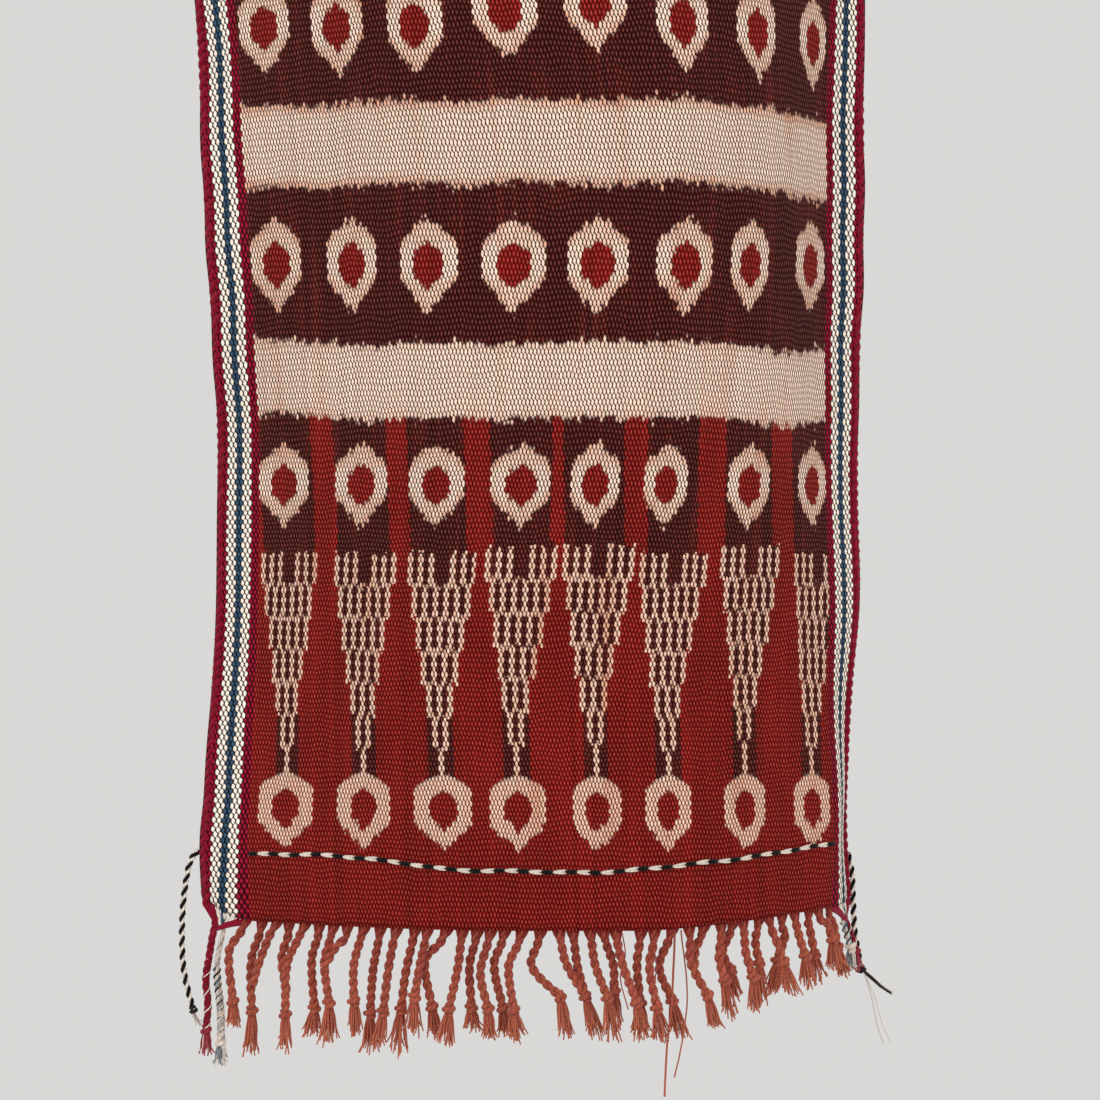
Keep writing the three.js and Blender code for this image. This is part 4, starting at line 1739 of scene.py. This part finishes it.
@dataclass
class TwinedLine:
    """The black and white line of twining above a hem, in short tapering strands."""

    half: Half
    shares: tuple[float, ...] = (0, 0.147, 0.265, 0.346, 0.458, 0.584, 0.711, 0.814, 0.909, 1)
    heights: tuple[float, ...] = (30, 31, 29, 26.5, 26, 25.5, 28.3, 30.2, 32.5, 34.2)
    off_face: float = 1.25
    arch: float = 0.6
    period: float = 10.4
    white_length: float = 6.1
    black_length: float = 5.2
    shortest: float = 2.5
    ply_radius: float = 0.6
    fork: tuple[float, float] = (0.14, 0.68)
    black_fork: float = 0.34
    black_bulge: float = 0.08
    first: float = 0.4
    white_after: float = 4.7
    waver: float = 0.25

    def build(self, shop: Workshop) -> Piece:
        """Lays a forked pair of white strands and a pair of black ones in turn.

        Args:
            shop: What yarns are made with.

        Returns:
            The line.
        """
        points, faces = self.line(shop)
        runs = path_runs(points)
        t = np.linspace(0, 1, 10)
        bulge = np.sin(np.pi * t)
        yarns = []
        for start in np.arange(self.first, runs[-1] - self.shortest, self.period):
            white = start + self.white_after
            lengths = ((Tone.BLACK, start, self.black_length), (Tone.WHITE, white, self.white_length))
            for tone, begin, length in lengths:
                length = min(length, runs[-1] - begin)
                if length < self.shortest:
                    continue
                place = begin + t * length * shop.rng.uniform(0.94, 1.06)
                fork = np.interp(t, (0, 1), self.fork)
                if tone is Tone.BLACK:
                    fork = self.black_fork + self.black_bulge * bulge
                middle, face = (
                    np.stack([np.interp(place, runs, rows[:, axis]) for axis in range(3)], axis=1)
                    for rows in (points, faces)
                )
                middle += face * (self.off_face + self.arch * bulge)[:, None]
                radius = self.ply_radius * (0.3 + 0.7 * bulge**0.55)
                for side in (-1, 1):
                    path = middle + np.outer(side * fork + shop.rng.uniform(-0.06, 0.06), [0, 0, 1])
                    yarns.append(Yarn(path, radius, tone=tone, wear=(-0.25, -0.2)))
        name = f"{self.half.value}_twined_line_yarns"
        return shop.sweeper.sweep(name, yarns, shop.yarn, sides=8, step=0.6, unevenness=0.12, seed=4.0)

    def line(self, shop: Workshop) -> tuple[Points, Points]:
        """Follows the cloth with the line.

        Args:
            shop: What yarns are made with.

        Returns:
            The line's path, and the directions that the cloth's face looks in.
        """
        drape = shop.drape
        hem = drape.hem(self.half)
        points, faces = [], []
        for share in np.linspace(0, 1, 300):
            height = hem + hermite(self.shares, self.heights, share) + self.waver * math.sin(share * 61)
            width = drape.at("width", height)
            point, face = shop.on_cloth(drape.border + (width - 2 * drape.border) * share, height, self.half)
            points.append(point)
            faces.append(face)
        return np.array(points), np.array(faces)

    def dress(self, piece: Piece) -> None:
        """Stands for the model's twined line."""
        register(piece, Slot.TWINE, f"{self.half.value}_twined_line")


# ---- fringe


class FringeCord(NamedTuple):
    """One cord: its place across, the sideways place and drop of its middle and its knot, and its tassel.

    A cord with no tassel is tied into the cord beside it.
    """

    across: float
    middle: float
    middle_drop: float
    end: float
    drop: float
    tassel: float


@dataclass
class Fringe:
    """A row of two-ply cords, each gathered from the warps at a hem and ended in a knot and a tassel."""

    half: Half
    stagger: float = 2.85
    gather: float = 5.5
    ply_radius: float = 1.16
    swing: float = 0.98
    pitch: float = 8.6
    free_depths: tuple[float, float] = (1.0, 1.0)
    tied_depths: tuple[float, float] = (0.1, -0.8)
    knot: Knot = Knot(2.0, 1.28, 3.8)
    tassel_yarns: int = 24
    gathered_yarns: int = 8
    gathered_width: float = 5.9
    gathered_cover: float = 0.94
    front_cords: tuple[tuple[float, ...], ...] = (
        (22, -5.8, 14, -4.6, 36.5, 8), (30, -6, 18, -6, 40, 16), (37.5, -8.5, 19, -12, 28, 0),
        (43.5, -3.5, 15.5, 0, 30, 0), (51.5, -6.5, 17, -7.5, 39.5, 12), (58.5, -4.5, 15, -3.5, 37, 9),
        (65.5, -3, 15.5, -1, 33.5, 14), (72, -5, 8.5, -9.5, 18, 0), (80, -4, 16.5, -3.5, 32, 11),
        (87.5, -4.5, 19.5, -5.5, 38, 13), (95, -3, 19, -5, 36, 12), (103.5, -5.5, 20.5, -7, 35.5, 15),
        (109, -2.5, 14.5, -5, 29, 13), (117.5, -10, 14, -7, 34, 10), (124.5, -1.5, 16, -5.5, 34, 12),
        (131, -4, 15, -3, 34, 8), (137, -4.5, 18, -1, 33.5, 10), (143, -5, 15, -1, 34, 9),
        (150.5, -5.5, 15, -3.5, 34, 10), (158.5, -4, 16, 8.5, 29, 14), (166.5, 3.5, 14.5, 10.3, 27, 0),
        (172.5, 2, 16.5, 5.5, 29, 15), (180, 2.5, 15, 7.5, 28.5, 15), (185.5, 4.5, 15.5, 5, 27, 12),
        (191, 3, 15, 9, 30.5, 11), (202, -1.5, 15, 0, 31.5, 12), (208, -2.5, 15.5, 0.5, 33, 11),
        (216, -5, 17, 0.5, 32, 13), (223.5, 0, 15.5, 7, 30, 11), (230.5, -3.5, 11.5, -5, 20, 0),
        (238.5, -2, 16, 0.5, 26, 13), (244.5, -3, 15, 0.5, 23.5, 9), (249.5, -0.5, 15.5, 3, 26.5, 11),
        (258, -0.5, 13, 1.5, 22.5, 14), (263, 2, 13.5, 5, 22.5, 11), (270.5, 3, 12, -0.5, 24, 11),
        (277.5, 0, 12.5, 3, 22.5, 10), (286, 2.5, 13, 4.5, 24, 9), (291.5, 1.5, 10, 4.5, 17.5, 10),
        (299, 4, 12, 6, 23.5, 10),
    )

    def cords(self) -> list[FringeCord]:
        """Lists the cords from left to right.

        Returns:
            The front cords, or the back ones with a sway of their own.
        """
        front = [FringeCord(*row) for row in self.front_cords]
        if self.half is Half.FRONT:
            return front
        made = []
        for k, cord in enumerate(front):
            sway = 2.1 * math.sin(1.7 * k) + 1.2 * math.sin(0.6 * k + 1)
            drop = 30 + 3.4 * math.sin(2.3 * k + 0.5)
            tassel = 11 + 1.6 * math.sin(3.1 * k)
            made.append(FringeCord(cord.across, 0.6 * sway, drop / 2, sway, drop, tassel))
        return made

    def build(self, shop: Workshop) -> tuple[Piece, Piece]:
        """Makes the cords with their knots, and the gathered and frayed yarns.

        Args:
            shop: What yarns are made with.

        Returns:
            The cords and the fine yarns.
        """
        drape, rng = shop.drape, shop.rng
        hem = drape.hem(self.half)
        width = drape.at("width", hem)
        plies: list[Yarn] = []
        fine: list[Yarn] = []
        for k, cord in enumerate(self.cords()):
            lift = float(drape.hem_lift(np.array([cord.across]), width)[0])
            root, face = shop.on_cloth(cord.across, hem + lift, self.half)
            lean = face * self.stagger * (1 if k % 2 == 0 else -1)
            if self.half is Half.BACK:
                lean = -lean
            depth = self.free_depths if cord.tassel else self.tied_depths
            end = root + lean * depth[1] + [cord.end, 0, lift - cord.drop]
            middle = root + lean * depth[0] + [cord.middle, 0, lift - cord.middle_drop]
            middle = middle + rng.normal(0, 0.2, 3)
            below = root + lean * 0.55 + [cord.middle * 0.3, 0, -self.gather]
            path = smooth_path([root + [0, 0, 0.5], below, middle, end], 0.9)
            share = np.clip(path_runs(path) / self.gather, 0, 1)
            plies += plied(
                path,
                (Tone.RUST, Tone.RUST),
                self.ply_radius * (0.35 + 0.65 * share),
                self.swing * (0.4 + 0.6 * share),
                self.pitch * rng.uniform(0.92, 1.1),
                rng.uniform(0, 6),
                (0.0, 0.35),
            )
            fine += self.gathered(shop, cord.across, hem + lift, path)
            if not cord.tassel:
                continue
            heading = path[-1] - path[-4]
            heading /= np.linalg.norm(heading)
            plies.append(knotted(end, heading, self.knot, rng.uniform(0, 6), Tone.RUST))
            heading = heading * 0.5 + [rng.normal(0, 0.08), 0, -0.7]
            heading /= np.linalg.norm(heading)
            spread = rng.uniform(3.4, 5.6)
            length = cord.tassel * 1.12 + 1.5
            fine += frayed(
                rng, end + heading, heading, length, spread, self.tassel_yarns, (Tone.RUST,), 0.5
            )
        if self.half is Half.FRONT:
            fine += self.loose(shop, width, hem)
        name, sweep = f"{self.half.value}_fringe", shop.sweeper.sweep
        return (
            sweep(f"{name}_cords", plies, shop.yarn, sides=8, step=0.85, unevenness=0.35),
            sweep(f"{name}_yarns", fine, shop.yarn, sides=5, step=1.5, unevenness=0.5, seed=2.0),
        )

    def gathered(self, shop: Workshop, across: float, hem: float, path: Points) -> list[Yarn]:
        """Lays yarns that leave the hem side by side and run together into a cord.

        Args:
            shop: What yarns are made with.
            across: The cord's place across the cloth.
            hem: Height of the weave's edge there.
            path: The cord's path.

        Returns:
            The yarns.
        """
        yarns = []
        joined = path[np.searchsorted(path_runs(path), self.gather)]
        for j in range(self.gathered_yarns):
            aside = (j - (self.gathered_yarns - 1) / 2) / self.gathered_yarns
            place = across + aside * self.gathered_width * self.gathered_cover
            start, face = shop.on_cloth(place, hem, self.half)
            close = joined + (start - path[0]) * 0.22 + face * 0.4 * math.cos(j * 2.4)
            middle = (start * 0.45 + close * 0.55) + [0, 0, -0.2]
            points = smooth_path([start + [0, 0, 1.4], start - [0, 0, 0.6], middle, close], 1.0)
            yarns.append(Yarn(points, 0.5, tone=Tone.DEEP, wear=(0.0, 0.6)))
        return yarns

    def loose(self, shop: Workshop, width: float, hem: float) -> list[Yarn]:
        """Hangs a few long thin threads past the cords.

        Args:
            shop: What yarns are made with.
            width: The cloth's width at the hem.
            hem: Height of the hem.

        Returns:
            The threads.
        """
        drape = shop.drape
        cloth_field = width - 2 * drape.border
        hanging = (
            (28.0, 0.5, ((0, 0), (-1.8, 30), (-4, 52), (-5, 72))),
            (28.4, 0.35, ((0, 0), (2.2, 28), (0.6, 44), (-1.6, 56), (-3.4, 64))),
            (24.6, 0.3, ((0, 0), (1.5, 10), (-0.6, 20), (2.8, 34))),
            (26.3, 0.3, ((0, 0), (3.2, 14), (2.4, 24), (4.5, 40))),
            (31.2, 0.3, ((0, 0), (-2.6, 12), (-1.2, 26))),
        )
        yarns = []
        for place, radius, swings in hanging:
            root, face = shop.on_cloth(drape.border + cloth_field * place / 40, hem, self.half)
            points = [root + face * min(1.9, drop * 0.2) + [aside, 0, -drop] for aside, drop in swings]
            yarns.append(Yarn(smooth_path(points, 1.4), radius, tone=Tone.RUST, wear=(0.2, 0.7)))
        return yarns

    def dress(self, pieces: tuple[Piece, Piece]) -> None:
        """Stands for the model's fringe.

        Args:
            pieces: The cords and the fine yarns.
        """
        cords, fine = pieces
        register(cords, Slot.FRINGE, f"{self.half.value}_fringe")
        register(fine, Slot.FRINGE)


# ---- corners


class Hang(NamedTuple):
    """How a braid or a free end hangs: places outwards and down from its root, and its tuft's length."""

    outs: tuple[float, ...]
    drops: tuple[float, ...]
    tuft: float


@dataclass(frozen=True)
class BraidPlan:
    """A corner braid: where it starts, how it hangs and what it is made of."""

    name: str
    slot: Slot
    share: float
    depth: float
    hangs: dict[Side, Hang]
    tones: tuple[Tone, ...]
    ply_radius: float
    swing: float
    pitch: float
    swell: float
    thin: tuple[Tone, ...]
    tuft: tuple[Tone, ...]
    gathered: tuple[tuple[Tone, float, tuple[float, ...]], ...]


CRIMSON_BRAID = BraidPlan(
    name="crimson_braid",
    slot=Slot.CRIMSON,
    share=0.31,
    depth=1.2,
    hangs={
        Side.LEFT: Hang((0, -0.9, 0.2, 1.6, 3.2, 2.3, 3), (0, 9, 14, 22.5, 34, 44, 56.5), 10),
        Side.RIGHT: Hang((0, -1.2, 1.1, 3.8), (0, 8.5, 14.5, 24), 8),
    },
    tones=(Tone.CRIMSON,) * 3,
    ply_radius=0.88,
    swing=0.92,
    pitch=11.0,
    swell=9.0,
    thin=(Tone.WHITE, Tone.DEEP),
    tuft=(Tone.CRIMSON, Tone.CRIMSON, Tone.CRIMSON, Tone.WHITE, Tone.CRIMSON, Tone.DEEP),
    gathered=(
        (Tone.CRIMSON, 1.05, (0.03, 0.09)), (Tone.CRIMSON, 1.0, (0.16,)),
        (Tone.CRIMSON, 0.75, (0.8, 0.86, 0.92, 0.97)),
    ),
)
PALE_BRAID = BraidPlan(
    name="pale_braid",
    slot=Slot.PALE,
    share=0.57,
    depth=-1.3,
    hangs={
        Side.LEFT: Hang((0, 1.5, 3.7, 4.4, 4, 2.8, 2.6), (0, 8, 18, 25, 32, 43, 58.5), 9),
        Side.RIGHT: Hang((0, 2, 3.5, 5.5), (0, 7, 13, 20), 9),
    },
    tones=(Tone.WHITE, Tone.GREY, Tone.WHITE),
    ply_radius=0.95,
    swing=1.0,
    pitch=9.0,
    swell=46.0,
    thin=(Tone.BLUE, Tone.BLACK),
    tuft=(Tone.WHITE, Tone.BLUE, Tone.BLUE, Tone.GREY),
    gathered=(
        (Tone.WHITE, 0.6, (0.33, 0.4)), (Tone.BLUE, 0.6, (0.5, 0.56)), (Tone.WHITE, 0.6, (0.66, 0.74)),
    ),
)


@dataclass
class CornerBraid:
    """One braid at a corner of the cloth."""

    half: Half
    side: Side
    plan: BraidPlan
    knot: Knot = Knot(1.7, 1.2, 4.2)
    back_share: float = 0.3
    tuft_yarns: int = 20
    far_share: float = 0.35
    near_join: float = 7.0
    far_join: float = 11.0

    def root_at(self, shop: Workshop, share: float) -> tuple[Points, Points]:
        """Finds a place of the border's lower edge.

        Args:
            shop: What yarns are made with.
            share: The place, as a share of the border from the selvedge.

        Returns:
            The place, and the direction that its face looks in.
        """
        drape = shop.drape
        hem = drape.hem(self.half)
        width = drape.at("width", hem)
        flat = np.array([drape.border * share])
        if self.side is Side.RIGHT:
            flat = width - flat
        lift = float(drape.hem_lift(flat, width)[0])
        drawn = drape.drawn_in(flat, width, lift)
        return shop.on_cloth(float(drawn[0]), hem + lift, self.half)

    def build(self, shop: Workshop) -> Piece:
        """Gathers the border's warps and winds them into the braid, its knot and its tuft.

        Args:
            shop: What yarns are made with.

        Returns:
            The braid.
        """
        rng, plan = shop.rng, self.plan
        hang = plan.hangs[self.side if self.half is Half.FRONT else Side.LEFT]
        outward = self.side.outward * (self.back_share if self.half is Half.BACK else 1.0)
        root, face = self.root_at(shop, plan.share)
        points = [root + face * 0.4]
        for out, drop in zip(hang.outs[1:], hang.drops[1:]):
            points.append(root + [out * outward, 0, -drop] + face * plan.depth)
        path = smooth_path(points, 0.9)
        runs = path_runs(path)
        share = np.clip(runs / plan.swell, 0, 1)
        start = rng.uniform(0, 6)
        swing = plan.swing * (0.4 + 0.6 * share)
        yarns = plied(path, plan.tones, plan.ply_radius * (0.5 + 0.5 * share), swing, plan.pitch, start)
        late = path[len(path) * 3 // 7 :]
        reach = plan.swing + plan.ply_radius * 0.62
        yarns += plied(late, plan.thin, 0.36, reach, plan.pitch * 0.71, start + 1)
        heading = np.array([0.0, 0.0, -1.0])
        yarns.append(knotted(points[-1], heading, self.knot, start, plan.tones[0]))
        tail = points[-1] + heading * 1.2
        yarns += frayed(rng, tail, heading, hang.tuft, 3.6, self.tuft_yarns, plan.tuft, 0.52)
        for tone, radius, shares in plan.gathered:
            for across_share in shares:
                place, face = self.root_at(shop, across_share)
                far = across_share >= plan.share + self.far_share
                joined = path[np.searchsorted(runs, self.far_join if far else self.near_join)]
                middle = place * 0.5 + joined * 0.5 + face * 0.8
                ends = [place + [0, 0, 2], place - [0, 0, 0.8], middle, joined + face * 0.5]
                yarns.append(Yarn(smooth_path(ends, 1.0), radius, tone=tone))
        name, seed = f"{self.half.value}_{self.side.value}_{plan.name}_yarns", rng.uniform(0, 9)
        return shop.sweeper.sweep(name, yarns, shop.yarn, sides=7, step=0.9, unevenness=0.4, seed=seed)

    def dress(self, piece: Piece) -> None:
        """Stands for the model's braid."""
        register(piece, self.plan.slot, f"{self.half.value}_{self.side.value}_{self.plan.name}")


class TwineDrop(NamedTuple):
    """A side's twine end: its root's height, how it hangs, how its tail and tuft lean, and its tuft."""

    root: float
    hang: Hang
    tail_lean: float
    tuft_lean: float
    tuft: tuple[Tone, ...]


TWINE_DROPS = {
    Side.LEFT: TwineDrop(
        30.5,
        Hang((0, 3.4, 5.7, 6.9, 7.3, 6.5, 4, 2.2), (0, 4.6, 15.3, 26.6, 40.8, 53.6, 64.9, 71.5), 8),
        -0.55,
        0.55,
        (Tone.WHITE, Tone.GREY, Tone.BLACK, Tone.PINK),
    ),
    Side.RIGHT: TwineDrop(
        27.0,
        Hang((0.6, 2.3, 3, 3.6, 5.4, 7), (0, 8, 22, 34, 46, 53), 17),
        1.15,
        1.15,
        (Tone.BLACK, Tone.BLACK, Tone.WHITE),
    ),
}


@dataclass
class TwineEnd:
    """A free end of the twined line that hangs beside the cloth."""

    half: Half
    side: Side
    radii: tuple[float, float] = (0.82, 0.66)
    swing: float = 0.7
    pitch: float = 5.7
    gap: float = 1.0
    back_sway: float = 0.6
    knot: Knot = Knot(1.3, 0.95, 3.2)
    tuft_yarns: int = 6
    threads: tuple[float, float] = (9.0, 12.5)
    thread_radius: float = 0.25

    def leaning(self, lean: float) -> Points:
        """The direction down the end, leaning along the cloth's width in front."""
        aim = np.array([lean if self.half is Half.FRONT else 0.0, 0.0, -1.0])
        return aim / np.linalg.norm(aim)

    def build(self, shop: Workshop) -> Piece:
        """Winds one black and one white ply, knots them and lets their ends go.

        Args:
            shop: What yarns are made with.

        Returns:
            The twine end.
        """
        drape, rng = shop.drape, shop.rng
        height, hang, tail_lean, tuft_lean, tuft = TWINE_DROPS[self.side]
        right, front, outward = self.side is Side.RIGHT, self.half is Half.FRONT, self.side.outward
        width = drape.at("width", drape.hem(self.half) + height)
        flat = drape.drawn_in(np.array([width if right else 0.0]), width, height)
        root, _ = shop.on_cloth(float(flat[0]), drape.hem(self.half) + height, self.half)
        root = root + [self.gap * (outward if front else -outward), 0, 0]
        away = np.array([outward, 0, 0] if front else [0, self.back_sway * outward, 0])
        points = [root + away * out - [0, 0, drop] for out, drop in zip(hang.outs, hang.drops)]
        body = smooth_path(points, 0.8)
        turn = path_runs(body) / self.pitch * 2 * math.pi + rng.uniform(0, 6)
        yarns = [
            Yarn(body, self.radii[0], self.swing, turn, Tone.BLACK, (-0.25, -0.2)),
            Yarn(body, self.radii[1], self.swing, turn + math.pi, Tone.WHITE),
        ]
        yarns.append(knotted(points[-1], np.array([0.0, 0.0, -1.0]), self.knot, 0.0, Tone.BLACK))
        tail = points[-1] + self.leaning(tail_lean)
        yarns += frayed(rng, tail, self.leaning(tuft_lean), hang.tuft, 1.6, self.tuft_yarns, tuft, 0.4, 0.5)
        for reach in self.threads if right and front else ():
            droop = ((0, 0, 0), (reach * 0.4, 0, -12), (reach * 0.7, 0.5, -25), (reach, 0, -33))
            path = smooth_path([tail + np.array(place) for place in droop], 1.5)
            yarns.append(Yarn(path, self.thread_radius, tone=Tone.WHITE))
        name = f"{self.half.value}_{self.side.value}_twine_end_yarns"
        return shop.sweeper.sweep(name, yarns, shop.yarn, sides=8, step=0.7, unevenness=0.3, seed=3.0)

    def dress(self, piece: Piece) -> None:
        """Stands for the model's twine end."""
        register(piece, Slot.TWINE, f"{self.half.value}_{self.side.value}_twine_end")


# ---- rod


@dataclass
class Rod:
    """The plain round rod under the fold."""

    radius: float
    length: float = 440.0
    bevel: float = 1.5
    sides: int = 72
    face_rings: tuple[float, float] = (0.6, 0.25)

    def build(self) -> Piece:
        """Turns the rod with softened ends.

        Returns:
            The rod.
        """
        half, bevel = self.length / 2, self.bevel
        angles = np.linspace(0, math.pi / 2, 5)
        right = [(half - bevel * (1 - math.sin(a)), self.radius - bevel * (1 - math.cos(a))) for a in angles]
        right += [(half, (self.radius - bevel) * share) for share in self.face_rings]
        rings = [(-x, r) for x, r in reversed(right)] + right
        turns = np.arange(self.sides) / self.sides * 2 * math.pi
        points = [(x, r * math.cos(a), r * math.sin(a)) for x, r in rings for a in turns]
        points += [(-half, 0, 0), (half, 0, 0)]
        n = self.sides
        quads: list[tuple[int, ...]] = []
        for ring in range(len(rings) - 1):
            for k in range(n):
                a, b = ring * n + k, ring * n + (k + 1) % n
                quads.append((a, b, b + n, a + n))
        low, high, last = len(points) - 2, len(points) - 1, (len(rings) - 1) * n
        quads += [(low, (k + 1) % n, k) for k in range(n)]
        quads += [(high, last + k, last + (k + 1) % n) for k in range(n)]
        mesh = bpy.data.meshes.new("turned_rod")
        mesh.from_pydata((np.array(points) * MM).tolist(), [], quads)
        mesh.shade_smooth()
        return link(mesh, "turned_rod")

    def dress(self, piece: Piece) -> None:
        """Gives the rod its wood and stands for the model's rod.

        Args:
            piece: The rod.
        """
        surface = Surface("rod_wood")
        tree = surface.tree
        place = tree.node("ShaderNodeTexCoord").outputs["Object"]
        parts = tree.node("ShaderNodeSeparateXYZ", {0: place})
        x, y, z = (Num(tree, socket) for socket in parts.outputs)
        grain = tree.noise(x * 9.0, y * 420.0 + z * 310.0, 1.5, 4.0)
        rings = ((y * 260.0 + z * 150.0 + tree.noise(x * 5.0, y * 60.0, 4.0) * 1.6) * 2.2).sin() * 0.5 + 0.5
        tone = tree.blend(grain * 0.55 + rings * 0.35, linear(214, 178, 132), linear(168, 122, 78))
        polish = grain * 0.12 + 0.48
        piece.data.materials.append(surface.finish(tone, polish, height=grain, depth=0.06, specular=0.35))
        register(piece, Slot.WOOD, "rod")


# ---- stage


@dataclass(frozen=True)
class Studio:
    """A pale floor, soft lights and a level camera."""

    camera: tuple[float, float, float] = (0.0, -1238.0, -745.0)
    sensor: float = 36.0
    frame_width: float = 475.2
    frame_distance: float = 1200.0
    floor_level: float = -1250.0
    floor_radius: float = 1100.0
    floor_sides: int = 96
    aim: tuple[float, float, float] = (0.0, 0.0, -600.0)
    wall_tone: Colour = linear(217, 216, 214)

    def build(self) -> None:
        """Makes the camera, world, floor and lights."""
        scene = bpy.context.scene
        scene.view_settings.view_transform = "Standard"
        lens = bpy.data.cameras.new("camera")
        lens.sensor_width = self.sensor
        lens.lens = self.sensor * self.frame_distance / self.frame_width
        lens.clip_start, lens.clip_end = 0.01, 50
        camera = bpy.data.objects.new("camera", lens)
        camera.location = Vector(self.camera) * MM
        camera.rotation_euler = (math.pi / 2, 0, 0)
        scene.collection.objects.link(camera)
        scene.camera = camera
        world = bpy.data.worlds.new("studio")
        world.use_nodes = True
        sky = world.node_tree.nodes["Background"].inputs
        sky[0].default_value, sky[1].default_value = (*self.wall_tone, 1), 1.0
        scene.world = world
        self.floor()
        self.light("key", (-900, -1500, 300), 1400, 11)
        self.light("fill", (1100, -1300, -200), 1200, 5)
        self.light("behind", (300, 1600, 300), 1400, 14)

    def floor(self) -> None:
        """A plain round floor under the shawl."""
        reach, level = self.floor_radius * MM, self.floor_level * MM
        turns = [2 * math.pi * k / self.floor_sides for k in range(self.floor_sides)]
        ring = [(reach * math.cos(a), reach * math.sin(a), level) for a in turns]
        mesh = bpy.data.meshes.new("floor")
        mesh.from_pydata(ring, [], [tuple(range(self.floor_sides))])
        floor = link(mesh, "floor")
        surface = Surface("floor")
        cloud = Num(surface.tree, surface.tree.node("ShaderNodeTexNoise", {"Scale": 3.0}).outputs[0])
        tone = surface.tree.blend(cloud * 0.3, linear(205, 204, 201), linear(220, 219, 216))
        floor.data.materials.append(surface.finish(tone, 0.8))

    def light(self, name: str, place: tuple[float, float, float], size: float, power: float) -> None:
        """Adds a large soft light that faces the cloth.

        Args:
            name: The light's name.
            place: Where it stands.
            size: Its side.
            power: Its power in watts.
        """
        lamp = bpy.data.lights.new(name, "AREA")
        lamp.size = size * MM
        lamp.energy = power
        holder = bpy.data.objects.new(name, lamp)
        holder.location = Vector(place) * MM
        aim = Vector([part * MM for part in self.aim]) - holder.location
        holder.rotation_euler = aim.to_track_quat("-Z", "Y").to_euler()
        bpy.context.scene.collection.objects.link(holder)


def main() -> None:
    """Builds the shawl's pieces in order."""
    logging.basicConfig(level=logging.INFO, format="%(name)s: %(message)s")
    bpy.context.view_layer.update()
    Studio().build()
    drape = Drape()
    ikat = IkatCloth(length=drape.length)
    sheet = ClothSheet(drape)
    cloth = sheet.build(ikat)
    sheet.dress(cloth, ikat)
    shop = Workshop(drape, SweepTree(), YarnFinish().material(), np.random.default_rng(20))
    for side in Side:
        selvedge = Selvedge(side)
        selvedge.dress(selvedge.build(shop, sheet))
    for half in Half:
        line = TwinedLine(half)
        line.dress(line.build(shop))
        fringe = Fringe(half)
        fringe.dress(fringe.build(shop))
        for side in Side:
            for part in (
                CornerBraid(half, side, CRIMSON_BRAID),
                CornerBraid(half, side, PALE_BRAID),
                TwineEnd(half, side),
            ):
                part.dress(part.build(shop))
    rod = Rod(drape.rod_radius)
    rod.dress(rod.build())


if __name__ == "__main__":
    main()
